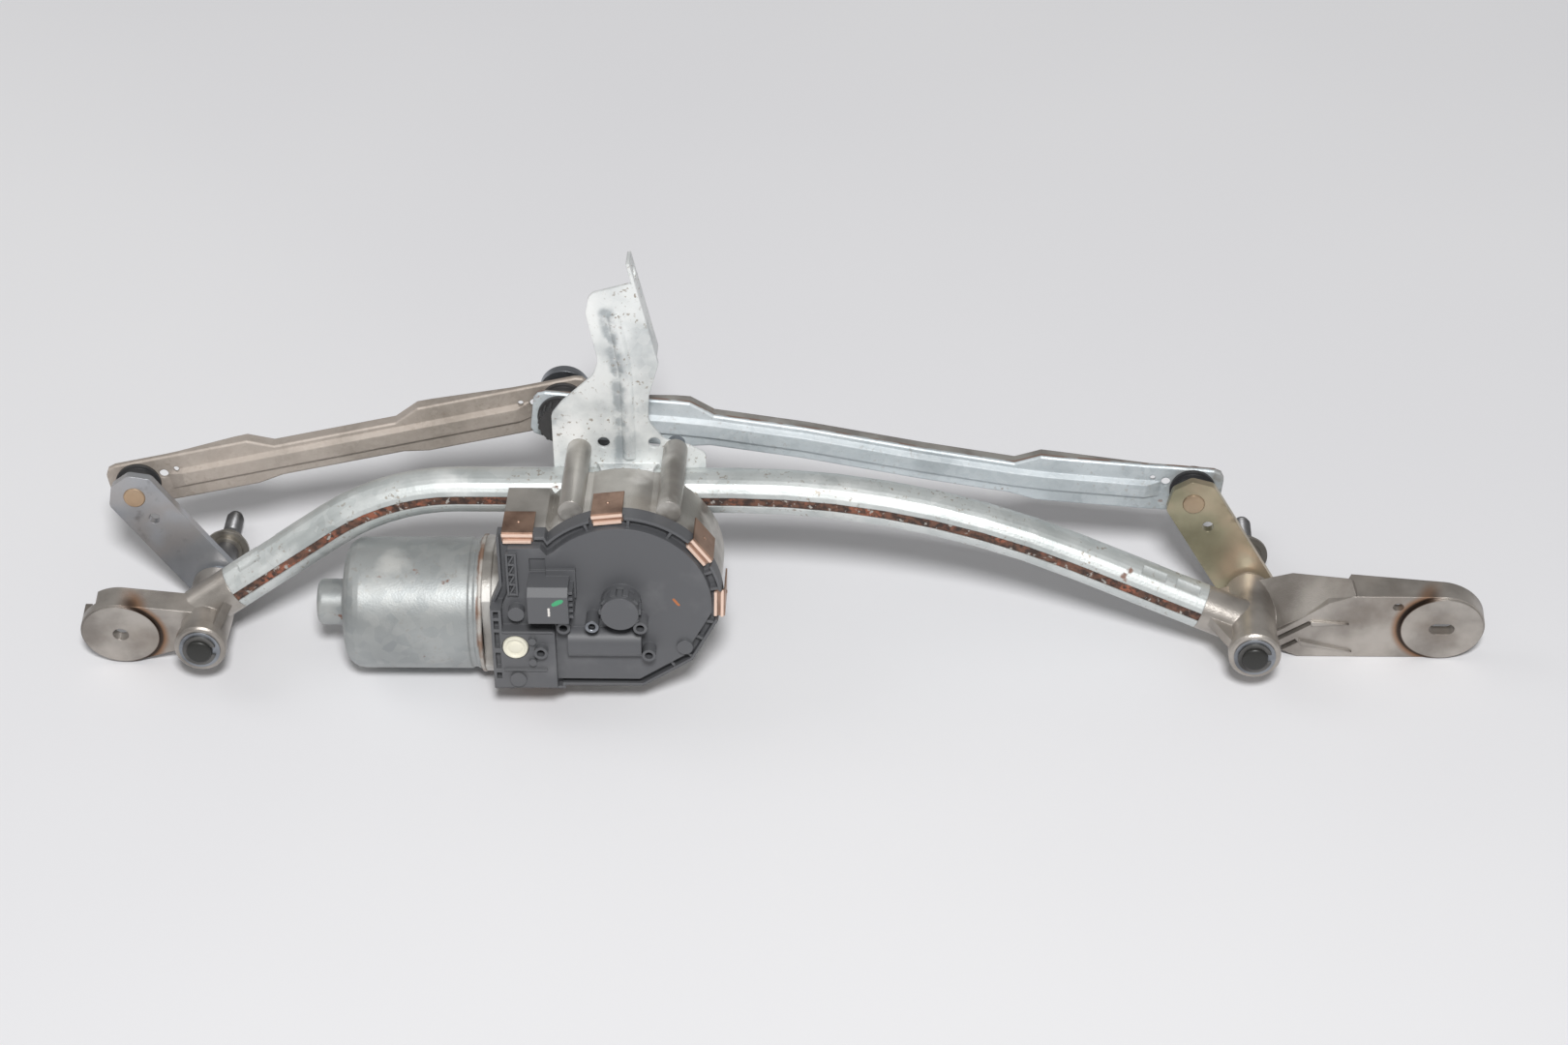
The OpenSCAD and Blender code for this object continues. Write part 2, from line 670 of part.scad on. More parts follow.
module right_rod_outer_socket() {
  stand() color(dark_plastic) rod_frame(right_rod_from, right_rod_to)
    translate([norm(right_rod_to - right_rod_from), 0, 0]) lever_socket();
}

module left_rod_inner_socket() {
  stand() color(dark_plastic) rod_frame(left_rod_from, left_rod_to)
    translate([norm(left_rod_to - left_rod_from), 0, 0])
      socket(crank_cavity_r, 5.2, -6, crank_mouth_r, crank_mouth_r);
}

// Closed towards the bracket, with a ribbed rim
module right_rod_inner_socket() {
  rib_count = 18;
  stand() color(dark_plastic) rod_frame(right_rod_from, right_rod_to) {
    socket(crank_cavity_r, crank_cavity_r + socket_cap, -5.5, 0, crank_mouth_r);
    for (i = [0:rib_count - 1]) rotate([0, 0, i * 360 / rib_count])
      translate([socket_r - 0.2, -0.7, 2]) cube([1.1, 1.4, crank_cavity_r - 1.5]);
  }
}

// Crank
module motor_crank() {
  hub_r = 15;
  stand() color(steel) translate([0, 0, crank_back_z]) linear_extrude(crank_t) difference() {
    link_outline(output_axis, hub_r, crank_ball, crank_nose_r);
    translate(output_axis) circle(output_r - 1);
    translate(crank_ball) circle(rivet_r);
  }
}

// One stud with two balls carries both rods
module crank_ball_stud() {
  stand() color(steel) translate([crank_ball.x, crank_ball.y, 0]) {
    translate([0, 0, crank_back_z - 1.2]) cylinder(r = rivet_r + 1.6, h = 1.2);
    translate([0, 0, crank_back_z]) cylinder(r = rivet_r, h = crank_t);
    translate([0, 0, crank_z]) cylinder(r = rivet_r + 1.3, h = 2);
    translate([0, 0, crank_z]) cylinder(r = crank_neck_r, h = near_ball_z - crank_z);
    for (z = [far_ball_z, near_ball_z]) translate([0, 0, z]) sphere(ball_r);
  }
}

module output_shaft() {
  near_end = worm_z + wheel_t / 2;
  stand() color(steel) translate([output_axis.x, output_axis.y, 0]) {
    translate([0, 0, crank_z]) cylinder(r = output_r, h = near_end - crank_z);
    translate([0, 0, crank_back_z - 10]) cylinder(r = output_r - 1, h = crank_t + 10 + tiny);
  }
}

module crank_nut() {
  nut_r = 9.5;
  nut_t = 7;
  stand() color(steel) translate([output_axis.x, output_axis.y, crank_back_z - nut_t]) difference() {
    cylinder(r = nut_r, h = nut_t, $fn = 6);
    translate([0, 0, -1]) cylinder(r = output_r - 1, h = nut_t + 2);
  }
}

// Worm wheel with straight-sided teeth
module worm_wheel() {
  add = 0.5 * gear_module;
  ded = 1.15 * gear_module;
  pitch_turn = 360 / wheel_teeth;
  tip_share = 0.09;
  root_share = 0.175;
  stand() color([0.85, 0.83, 0.76]) translate([output_axis.x, output_axis.y, worm_z - wheel_t / 2])
    linear_extrude(wheel_t) difference() {
      polygon([for (i = [0:wheel_teeth - 1], k = [0:3])
        polar(wheel_pitch_r + (k == 1 || k == 2 ? add : -ded), -90 + pitch_turn * (i + 0.5
          + (k == 0 ? -root_share : k == 1 ? -tip_share : k == 2 ? tip_share : root_share)))]);
      circle(output_r);
    }
}

// Armature: shaft with its worm thread, laminated core and commutator
module motor_axis() {
  translate([motor_x, worm_y, worm_z]) rotate([0, 90, 0]) children();
}

armature_from = yoke_x - yoke_len - 13 - motor_x;
armature_to = 34;
module armature_shaft() {
  pitch = PI * gear_module;
  turns = 6;
  steps = 20;
  root_r = worm_r - gear_module;
  crest = 0.12 * pitch;
  foot = 0.3 * pitch;
  height = 1.35 * gear_module;
  stand() color(steel) motor_axis() {
    translate([0, 0, armature_from]) cylinder(r = armature_r, h = armature_to - armature_from);
    translate([0, 0, -14]) cylinder(r = root_r, h = 28);
    loft([for (i = [0:turns * steps])
      let (a = 180 + (i - turns * steps / 2) * 360 / steps, z = (i / steps - turns / 2) * pitch,
        thin = min(1, min(i, turns * steps - i) / 6), top = root_r + height * thin + 0.05)
      [for (p = [[root_r - 0.4, -foot / 2], [top, -crest / 2], [top, crest / 2], [root_r - 0.4, foot / 2]])
        [p[0] * cos(a), p[0] * sin(a), z + p[1]]]]);
  }
}

core_from = yoke_x - yoke_len + 14 - motor_x;
core_len = yoke_len - 38;
magnet_t = 6;
air_gap = 1.2;
core_r = yoke_r - yoke_wall - magnet_t - air_gap;
module armature_core() {
  slots = 12;
  slot_w = 5;
  slot_from = 16;
  slot_lip = 3;
  stand() color(dark_steel) motor_axis() translate([0, 0, core_from]) linear_extrude(core_len)
    difference() {
      circle(core_r);
      circle(armature_r);
      for (i = [0:slots - 1]) rotate(i * 360 / slots) {
        translate([slot_from, -slot_w / 2]) square([core_r - slot_lip - slot_from, slot_w]);
        translate([slot_from, -1]) square([core_r + 1 - slot_from, 2]);
      }
    }
}

module commutator() {
  bars = 12;
  commutator_r = 11;
  commutator_len = 14;
  stand() color(copper) motor_axis() translate([0, 0, core_from + core_len + 3])
    linear_extrude(commutator_len) difference() {
      circle(commutator_r);
      circle(armature_r);
      for (i = [0:bars - 1]) rotate(i * 360 / bars)
        translate([commutator_r - 1.2, -0.4]) square([3, 0.8]);
    }
}

// Drawn steel can with a rolled lip and a bearing nose
nose_len = 16.5;
nose_r = 12.8;
module motor_yoke() {
  shoulder = 10;
  lip_r = yoke_r + yoke_lip;
  lip_t = 2.2;
  end = -yoke_len;
  stand() color(zinc) translate([yoke_x, worm_y, worm_z]) rotate([0, 90, 0]) rotate_extrude($fn = 96)
    polygon(rounded([[0, end - nose_len, 0], [nose_r, end - nose_len, 3], [nose_r, end, 2.5],
      [yoke_r, end, shoulder], [yoke_r, -lip_t - 6, 0], [yoke_r - 0.8, -lip_t - 5, 0],
      [yoke_r - 0.8, -lip_t - 3, 0], [yoke_r, -lip_t - 2, 0], [yoke_r, -lip_t, 0], [lip_r, -lip_t, 0.6],
      [lip_r, 0, 0.6], [yoke_r - yoke_wall, 0, 0], [yoke_r - yoke_wall, end + yoke_wall, shoulder - 2],
      [nose_r - yoke_wall, end + yoke_wall, 1], [nose_r - yoke_wall, end - nose_len + yoke_wall, 1],
      [0, end - nose_len + yoke_wall, 0]]));
}

module yoke_magnets() {
  magnet_over = 3;
  magnet_r = yoke_r - yoke_wall;
  stand() color([0.2, 0.2, 0.21]) motor_axis() translate([0, 0, core_from - magnet_over])
    for (turn = [25, 205]) rotate([0, 0, turn]) rotate_extrude(angle = 130)
      translate([magnet_r - magnet_t, 0]) square([magnet_t, core_len + 2 * magnet_over]);
}

module yoke_bearing() {
  bearing_len = 9;
  stand() color(bronze) translate([yoke_x - yoke_len - nose_len + yoke_wall + 2, worm_y, worm_z])
    rotate([0, 90, 0]) ring(nose_r - yoke_wall, armature_r + run_gap, bearing_len);
}

worm_bearing_r = 8;
worm_bearing_len = 8;
module worm_bearing() {
  stand() color(bronze) motor_axis() translate([0, 0, armature_to - worm_bearing_len - 1])
    ring(worm_bearing_r, armature_r + run_gap, worm_bearing_len);
}

// Ring card with two carbon brushes on the commutator
module brush_card() {
  card_t = 3;
  brush = [6, 9, 9];
  commutator_clear = 11.4;
  stand() color(dark_plastic) motor_axis() translate([0, 0, core_from + core_len + 14]) {
    ring(yoke_r - yoke_wall, commutator_clear + 1, card_t);
    for (turn = [0, 180]) rotate([0, 0, turn])
      translate([commutator_clear, -brush.y / 2, -brush.x]) cube([brush.z, brush.y, brush.x + tiny]);
  }
}

// Block that the gear housing and the cover share; inset moves every side inwards
block_left = motor_x - 72;
block_top = motor_rise + 39.5;
block_low = motor_rise - 60;
block_step = 6;
module gear_block(inset, height) {
  round_r = cover_r - inset;
  round_y = motor_rise - cover_drop;
  flats = [[-29, cover_r - 4], [-57.3, cover_r - 3.1]];
  bottom = round_y - round_r - 0.3;
  step_x = motor_x - 33 - inset;
  shoulder_x = 17;
  dip = 4.5;
  difference() {
    union() {
      translate([motor_x, round_y, 0]) cylinder(r = round_r, h = height);
      linear_extrude(height)
        polygon([[block_left + block_step + inset, block_top - inset],
          [motor_x - 40 - inset * 0.4, block_top - inset],
          [motor_x - 38 - inset * 0.2, block_top - dip - inset],
          [motor_x - shoulder_x, round_y + sqrt(pow(round_r, 2) - pow(shoulder_x, 2)) - 0.5],
          [motor_x, motor_rise], [motor_x + 14, bottom], [step_x, bottom], [step_x, block_low + inset],
          [block_left + inset, block_low + inset],
          [block_left + inset, motor_rise - 6], [block_left + block_step + inset, motor_rise + 8]]);
    }
    for (flat = flats) translate([motor_x, round_y, -1]) rotate([0, 0, flat[0]])
      translate([flat[1] - inset, -cover_r, 0]) cube([cover_r, 2 * cover_r, height + 2]);
  }
}

neck_r = 10.5;
neck_end = far_ball_z + 3;
seal_t = 1;
housing_inset = 2;
flange_t = 5;
module gear_housing() {
  flange_r = yoke_r + yoke_lip - 0.4;
  tunnel_r = worm_bearing_r + 0.5;
  block_x = motor_x + armature_to - worm_bearing_len - 2;
  post_x = post_spacing / 2;
  stand() color(cast_metal) difference() {
    union() {
      translate([0, 0, floor_z]) gear_block(housing_inset, gear_depth - seal_t);
      translate([motor_x - post_x, motor_rise, floor_z])
        cube([post_spacing, post_y - motor_rise - 1, gear_depth - seal_t]);
      for (side = [-1, 1]) {
        translate([motor_x + side * post_x, post_y, bracket_z])
          cylinder(r = post_r, h = rim_z - seal_t - bracket_z);
        translate([motor_x + side * post_x - 2, motor_rise + 30, floor_z - 1])
          cube([4, post_y - motor_rise - 30, gear_depth / 2]);
      }
      translate([motor_x, motor_rise, neck_end]) cylinder(r = neck_r, h = floor_z - neck_end + 1);
      translate([motor_x, motor_rise, floor_z - 8]) cylinder(r1 = neck_r, r2 = neck_r + 5, h = 8 + tiny);
      intersection() {
        translate([yoke_x, worm_y, worm_z]) rotate([0, 90, 0]) {
          cylinder(r = flange_r, h = flange_t);
          translate([0, 0, flange_t]) cylinder(r1 = flange_r - 3, r2 = yoke_r - 10, h = 34);
        }
        translate([yoke_x - 1, worm_y - 50, worm_z - 60]) cube([60, 100, rim_z - seal_t - worm_z + 60]);
      }
    }
    translate([0, 0, floor_z + gear_wall]) difference() {
      gear_block(housing_inset + gear_wall, gear_depth);
      translate([block_left, block_low, -1])
        cube([motor_x - 42 - block_left, worm_y + 42 - block_low, gear_depth + 2]);
      translate([motor_x - 45, block_low, -1])
        cube([100, worm_y - worm_bearing_r - block_low, gear_depth + 2]);
      translate([block_x, block_low, -1])
        cube([50, worm_y + worm_bearing_r + 3 - block_low, gear_depth + 2]);
    }
    motor_axis() {
      translate([0, 0, -90]) cylinder(r = tunnel_r, h = 90 + armature_to - worm_bearing_len - 1);
      cylinder(r = worm_bearing_r, h = armature_to + 1);
      translate([0, 0, yoke_x - motor_x - 1]) cylinder(r = yoke_r - 6, h = 12);
    }
    translate([motor_x, motor_rise, neck_end - 1]) cylinder(r = output_r + 2, h = floor_z - neck_end + 8);
    for (side = [-1, 1])
      translate([motor_x + side * post_x, post_y, bracket_z - 1]) cylinder(r = screw_r, h = 22);
  }
}

module output_bush() {
  stand() color(bronze) translate([motor_x, motor_rise, neck_end])
    ring(output_r + 2, output_r + run_gap, floor_z - neck_end);
}

// Screws from the bracket into the posts
screw_r = 3;
module bracket_screws() {
  head_r = 5;
  shank = 18;
  stand() color(steel) for (side = [-1, 1])
    translate([motor_x + side * post_spacing / 2, post_y, bracket_back_z]) {
      translate([0, 0, -screw_head_t]) cylinder(r = head_r, h = screw_head_t);
      cylinder(r = screw_r - spigot_gap, h = bracket_t + shank);
    }
}

module cover_seal() {
  stand() color([0.1, 0.1, 0.1]) translate([0, 0, rim_z - seal_t]) difference() {
    gear_block(housing_inset + 1, seal_t);
    translate([0, 0, -1]) gear_block(housing_inset + gear_wall, seal_t + 2);
  }
}

// Moulded cover: a ledge for the clips, a flat face and the raised features on it
ledge = 6;
ledge_height = 6;
clip_angles = [96.5, 36, -2];
plug_at = [motor_x - 58.3, motor_rise - 27];
plug_r = 7.4;
cap_hub_r = 8;
module gear_cover() {
  ledge_rib = 1.6;
  ledge_rib_angles = [110, 84, 58, 22, 10, -15, -29, -44, -57];
  rim_wall = 1.6;
  rim_height = 4;
  block_height = 6;
  slot_column = 6;
  slot_marks = [[-5.9, 4], [-12.6, 5.5], [-22.6, 10.5], [-36, 10.5], [-46, 4]];
  slot_w = 2.8;
  slot_deep = 4;
  truss = [motor_x - 61.2, motor_rise + 4.5];
  truss_w = 5.9;
  truss_cell = 6.4;
  pocket_deep = 1.4;
  drum_r = 9.5;
  drum_from = motor_x - 29.6;
  drum_len = 40;
  drum_y = motor_rise - 26.5;
  drum_sink = 2;
  boss_r = 3.8;
  well_r = 2.2;
  well_deep = 6;
  bosses = [[-15.5, -9.6, 11], [10.6, -10.6, 11], [14.4, -30.7, 8], [-31.4, -13, 8], [-44.2, -28.3, 10]];
  buttons = [[-57, -6.1, 5], [-57.6, -47.4, 8], [33.6, -29.6, 1.5]];
  button_r = 4.5;
  pins = [[-48.8, -22.3, 8], [-49, -36.1, 8]];
  bars = [[-65, -36.5, -16.5], [-65, -41, -41.5]];
  bar_t = 1.3;
  block_floor = rim_z + ledge_height - 1;
  stand() color(dark_plastic) difference() {
    union() {
      difference() {
        union() {
          translate([0, 0, rim_z]) gear_block(0, ledge_height);
          translate([0, 0, rim_z]) gear_block(ledge, cover_height);
        }
        translate([0, 0, rim_z - 1]) gear_block(housing_inset + gear_wall, 1 + ledge_height - cover_wall);
        translate([0, 0, rim_z - 1]) gear_block(ledge + cover_wall, 1 + cover_height - cover_wall);
      }
      translate([0, 0, rim_z + ledge_height - 1]) difference() {
        gear_block(0, rim_height + 1);
        translate([0, 0, -1]) gear_block(rim_wall, rim_height + 3);
        clip_places() translate([-cover_r / 2, -clip_w / 2 - 1, 1])
          cube([cover_r, clip_w + 2, rim_height + 1]);
      }
      intersection() {
        translate([0, 0, rim_z]) gear_block(rim_wall / 2, cover_height);
        for (a = ledge_rib_angles)
          translate([motor_x, motor_rise - cover_drop, rim_z + ledge_height - 1]) rotate([0, 0, a])
            translate([cover_r - ledge - 6, -ledge_rib / 2, 0])
              cube([ledge + 6, ledge_rib, rim_height + 0.5]);
      }
      translate([motor_x - 71, motor_rise - 54, block_floor])
        linear_extrude(cover_z + block_height - block_floor)
          polygon([[0, 0], [34.5, 0], [34.5, 37], [slot_column, 37], [slot_column, 51], [0, 51]]);
      truss_frame(truss, truss_w, truss_cell);
      intersection() {
        translate([drum_from, drum_y, cover_z - drum_sink]) rotate([0, 90, 0])
          cylinder(r = drum_r, h = drum_len);
        translate([drum_from - 1, drum_y - drum_r, cover_z - 1])
          cube([drum_len + 2, 2 * drum_r, drum_r + 1]);
      }
      for (b = bosses) translate([motor_x + b.x, motor_rise + b.y, cover_z - 1])
        cylinder(r = boss_r, h = b.z + 1);
      for (b = buttons) translate([motor_x + b.x, motor_rise + b.y, cover_z - 1])
        cylinder(r = button_r, h = b.z + 1);
      for (b = pins) translate([motor_x + b.x, motor_rise + b.y, cover_z - 1])
        cylinder(r = well_r, h = b.z + 1);
      for (b = bars) translate([motor_x + b[0], motor_rise + b[2] - bar_t / 2, cover_z - 1])
        cube([b[1] - b[0] - 0.5, bar_t, block_height + 2.2]);
      translate([motor_x, motor_rise, cover_z - tiny]) ring(cap_hub_r + 3, cap_hub_r, 4);
    }
    for (b = bosses)
      translate([motor_x + b.x, motor_rise + b.y, cover_z + b.z - well_deep])
        cylinder(r = well_r, h = well_deep + 1);
    for (m = slot_marks)
      translate([motor_x - 68 - slot_w / 2, motor_rise + m[0] - m[1] / 2,
        cover_z + block_height - slot_deep])
        cube([slot_w, m[1], slot_deep + 1]);
    translate([motor_x - 48.7, motor_rise + 19, cover_z - pocket_deep]) cube([8.6, 8.1, pocket_deep + 1]);
    translate([plug_at.x, plug_at.y, cover_z + 2]) cylinder(r = plug_r, h = block_height);
    translate([motor_x, motor_rise, cover_z - cover_wall - 1]) cylinder(r = cap_hub_r, h = 8);
  }
}

// Moulded truss beside the connector: two rails, rungs and diagonals
module truss_frame(place, width, cell) {
  bar = 1.2;
  cells = 4;
  translate([place.x, place.y, cover_z - 1]) {
    for (x = [0, width - bar]) translate([x, 0, 0]) cube([bar, cells * cell + bar, 3.6]);
    for (i = [0:cells]) translate([bar / 2, i * cell, 0]) cube([width - bar, bar, 3.4]);
    for (i = [0:cells - 1]) translate([0, i * cell + bar / 2, 0]) linear_extrude(3)
      polygon([[bar / 2, 0], [bar * 1.5, 0], [width - bar / 2, cell], [width - bar * 1.5, cell]]);
  }
}

// Crown-ribbed plug over the output axis
module cover_cap() {
  cap_top_r = 10.2;
  cap_rise = 13;
  rib_count = 10;
  stand() color(dark_plastic) translate([motor_x, motor_rise, cover_z]) {
    translate([0, 0, -cover_wall]) cylinder(r = cap_hub_r - spigot_gap, h = cover_wall + 5);
    translate([0, 0, 4]) cylinder(r = cap_top_r, h = cap_rise - 4);
    for (i = [0:rib_count - 1]) rotate([0, 0, i * 360 / rib_count])
      translate([cap_top_r - 1, -1.6, 4]) cube([2.2, 3.2, cap_rise - 6]);
  }
}

module cover_plug() {
  stand() color([0.93, 0.91, 0.82]) translate([plug_at.x, plug_at.y, cover_z + 2])
    cylinder(r1 = plug_r - spigot_gap, r2 = plug_r - 0.6, h = 5.2);
}

// Socket for the loom plug; its mouth looks down the cover
connector_wall = 1.7;
connector_deep = 15;
module connector_socket() {
  back_plate = [15.9, 18, 3];
  bevel = 4;
  rib_w = 1.6;
  low_y = connector_at.y - connector_size.y / 2;
  high_y = low_y + connector_size.y;
  left_x = connector_at.x - connector_size.x / 2;
  stand() color(dark_plastic) difference() {
    union() {
      translate([left_x, 0, cover_z]) rotate([90, 0, 90]) linear_extrude(connector_size.x)
        polygon([[low_y, 0], [high_y, 0], [high_y, connector_size.z - bevel],
          [high_y - bevel, connector_size.z], [low_y, connector_size.z]]);
      translate([motor_x - 39.7, motor_rise + 21.7 - back_plate.y, cover_z]) cube(back_plate);
      for (y = [1:3.8:19]) translate([left_x + connector_size.x - 1, low_y + y, cover_z])
        cube([3.2, rib_w, connector_size.z - bevel]);
    }
    translate([left_x + connector_wall, low_y - 1, cover_z + connector_wall])
      cube([connector_size.x - 2 * connector_wall, connector_deep + 1, connector_size.z - 2
        * connector_wall]);
  }
}

module connector_pins() {
  pin_len = 7;
  pin_w = 1.5;
  stand() color(copper) for (i = [-1.5:1:1.5], row = [0, 1])
    translate([connector_at.x + i
      * 4 - pin_w / 2, connector_at.y - connector_size.y / 2 + connector_deep - pin_len,
      cover_z + 6 + row * 5])
      cube([pin_w, pin_len, pin_w]);
}

// Spring clips over the cover's ledge and the housing's rim
clip_w = 17;
module spring_clip() {
  clip_t = 0.8;
  clip_off = 0.15;
  clip_deep = 20;
  hook = 5;
  rung = 1.6;
  dimple_r = 1.5;
  translate([0, -clip_w / 2, 0]) {
    translate([clip_off, 0, ledge_height - clip_deep]) cube([clip_t, clip_w, clip_deep + clip_t]);
    translate([-hook, 0, ledge_height]) cube([hook + clip_off + clip_t, clip_w, clip_t]);
    translate([-hook, clip_w * 0.05, ledge_height + clip_t / 2]) cube([rung, clip_w * 0.9, rung + 0.8]);
    translate([clip_off - rung, 0, ledge_height + clip_t / 2]) cube([rung, clip_w, rung]);
    translate([clip_off + clip_t / 2, clip_w / 2, ledge_height - clip_deep / 2]) rotate([0, 90, 0])
      cylinder(r1 = dimple_r, r2 = dimple_r / 2, h = 1);
  }
}

// Places of the clips round the rim
module clip_places() {
  for (a = clip_angles) translate([motor_x, motor_rise - cover_drop, 0]) rotate([0, 0, a])
    translate([cover_r, 0, 0]) children();
  translate([motor_x - 55, block_top, 0]) rotate([0, 0, 90]) children();
  translate([motor_x - 52, block_low, 0]) rotate([0, 0, -90]) children();
}

module cover_clips() {
  stand() color(copper) translate([0, 0, rim_z]) clip_places() spring_clip();
}

module control_board() {
  board_t = 1.6;
  board_gap = 0.5;
  stand() color([0.12, 0.36, 0.2]) translate([0, 0, rim_z + ledge_height - cover_wall - board_t])
    difference() {
      gear_block(housing_inset + gear_wall + board_gap, board_t);
      translate([motor_x, motor_rise, -1]) cylinder(r = cap_hub_r + 2, h = board_t + 2);
    }
}

// Stamped bracket welded on the tube: seat, bead, folded side and fixing lug
module bracket_outline() {
  foot = tube_top_y;
  bx = motor_x;
  polygon(rounded([[bx - 41, foot, 0], [bx + 43, foot, 0], [bx + 43, foot + 19, 4], [bx + 34, foot + 24, 6],
    [bx + 20, foot + 28, 8], [bx + 12, foot + 40, 10], [bx + 13, foot + 56, 12], [bx + 19, foot + 76, 6],
    [bx + 8, foot + bracket_rise, 3], [bx - 17, foot + bracket_rise - 7, 6], [bx - 19.5, foot + 108, 8],
    [bx - 14, foot + 78, 10], [bx - 17, foot + 69, 8], [bx - 35, foot + 52, 8], [bx - 41, foot + 44, 6]]));
}

module bracket_bead(r) {
  bead_from = tube_top_y + 16;
  bend_y = tube_top_y + 70;
  overlap = 0.4;
  translate([motor_x + 1, bead_from, 0]) rotate([-90, 0, 0])
    cylinder(r = r, h = bend_y + overlap - bead_from);
  translate([motor_x + 1, bend_y, 0]) rotate([-90, 0, 8]) translate([0, 0, -overlap])
    cylinder(r = r, h = 38);
}

module centre_bracket() {
  bead_r = 4;
  bead_sink = 1.8;
  flange_deep = 14;
  lug_rise = 12;
  tab_w = 18.5;
  tab_back = 8;
  tab_front = 6;
  hole_r = 3.4;
  lean_in = atan2(11, bracket_rise - 76);
  side_len = norm([11, bracket_rise - 76]);
  stand() color(zinc) difference() {
    union() {
      translate([0, 0, bracket_back_z]) linear_extrude(bracket_t) bracket_outline();
      translate([0, 0, bracket_z - bead_sink]) intersection() {
        bracket_bead(bead_r);
        translate([motor_x - 40, 0, bead_sink - bracket_t + tiny]) cube([80, 400, bead_r]);
      }
      tube_plane() translate([motor_x, tube_rise, 0]) intersection() {
        translate([-tab_w, 0, 0]) rotate([0, 90, 0]) ring(tube_r + bracket_t, tube_r - 1, 2 * tab_w);
        rotate([-90, 0, 0]) linear_extrude(2 * tube_r)
          polygon([[-tab_w, tab_back], [tab_w, tab_back], [tab_w - 4, -tab_front],
            [4 - tab_w, -tab_front]]);
      }
      translate([motor_x + 19, tube_top_y + 76, bracket_z]) rotate([0, 0, lean_in])
        translate([-bracket_t, 4, -flange_deep]) difference() {
          cube([bracket_t, side_len + lug_rise - 4, flange_deep]);
          translate([-1, side_len + lug_rise - 13, flange_deep / 2]) rotate([0, 90, 0])
            cylinder(d = lug_hole_d, h = bracket_t + 2);
        }
    }
    translate([0, 0, bracket_back_z - bead_sink]) intersection() {
      bracket_bead(bead_r);
      translate([motor_x - 40, 0, bead_sink - tiny]) cube([80, 400, bead_r]);
    }
    tube_plane() translate([left_bend_x, tube_rise, 0]) rotate([0, 90, 0])
      cylinder(r = tube_r, h = right_bend_x - left_bend_x);
    for (side = [-1, 1])
      translate([motor_x + side * post_spacing / 2, post_y, bracket_back_z - 1])
        cylinder(r = screw_r, h = 4 * bracket_t);
    for (x = [-13, 15]) translate([motor_x + x, tube_top_y + 26, bracket_back_z - 1])
      cylinder(r = hole_r, h = 4 * bracket_t);
  }
}

frame_tube();
left_pivot_housing();
right_pivot_housing();
left_shaft_bushes();
right_shaft_bushes();
centre_bracket();
bracket_screws();
gear_housing();
gear_cover();
connector_socket();
connector_pins();
cover_cap();
cover_plug();
cover_clips();
cover_seal();
control_board();
output_bush();
motor_yoke();
yoke_magnets();
yoke_bearing();
worm_bearing();
brush_card();
motor_crank();
crank_ball_stud();
crank_nut();
output_shaft();
worm_wheel();
armature_shaft();
armature_core();
commutator();
left_shaft();
left_lever();
left_lever_ball();
left_shaft_cap();
left_shaft_washers();
left_shaft_clip();
right_shaft();
right_lever();
right_lever_ball();
right_shaft_cap();
right_shaft_washers();
right_shaft_clip();
left_rod();
left_rod_outer_socket();
left_rod_inner_socket();
right_rod();
right_rod_inner_socket();
right_rod_outer_socket();
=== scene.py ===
import json
import math

import bmesh
import bpy
from mathutils import Matrix, Vector


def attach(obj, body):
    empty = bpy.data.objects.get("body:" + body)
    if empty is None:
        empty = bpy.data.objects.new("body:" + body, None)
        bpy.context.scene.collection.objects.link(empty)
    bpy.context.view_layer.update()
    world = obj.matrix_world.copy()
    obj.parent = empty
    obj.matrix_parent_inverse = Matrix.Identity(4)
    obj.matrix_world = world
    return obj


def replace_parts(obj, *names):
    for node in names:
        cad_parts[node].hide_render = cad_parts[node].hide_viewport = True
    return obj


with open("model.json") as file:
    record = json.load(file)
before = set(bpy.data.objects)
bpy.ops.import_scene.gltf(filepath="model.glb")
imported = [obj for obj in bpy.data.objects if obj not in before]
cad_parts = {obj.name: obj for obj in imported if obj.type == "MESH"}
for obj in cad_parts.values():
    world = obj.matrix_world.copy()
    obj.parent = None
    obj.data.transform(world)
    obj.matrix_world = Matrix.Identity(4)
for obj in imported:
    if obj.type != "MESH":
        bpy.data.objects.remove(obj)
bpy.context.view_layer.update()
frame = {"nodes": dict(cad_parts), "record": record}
scene = bpy.context.scene

# Pieces are drawn in millimetres in the frame of the linkage: X along the line of the two shafts,
# Y up the arch of the tube, Z along the shafts towards the cover. STAND sets that frame upright.
MM = 0.001
LEAN = math.radians(11.5)
UPRIGHT = Matrix.Rotation(math.pi / 2 - LEAN, 4, "X")
STAND = Matrix.Translation((-28.825, -55.093, 32.402)) @ UPRIGHT


def at(x, y, z):
    """Row place, in metres, of a point of the linkage frame."""
    return (STAND @ Vector((x, y, z))) * MM


def heading(x, y, z):
    """Row direction, of length 1, of a direction of the linkage frame."""
    return (STAND.to_3x3() @ Vector((x, y, z))).normalized()


def tone(red, green, blue):
    """Linear colour of a screen colour given from 0 to 255."""
    parts = [c / 255 for c in (red, green, blue)]
    return [c / 12.92 if c < 0.04045 else ((c + 0.055) / 1.055) ** 2.4 for c in parts] + [1]


def add_object(name, data):
    obj = bpy.data.objects.new(name, data)
    scene.collection.objects.link(obj)
    return obj


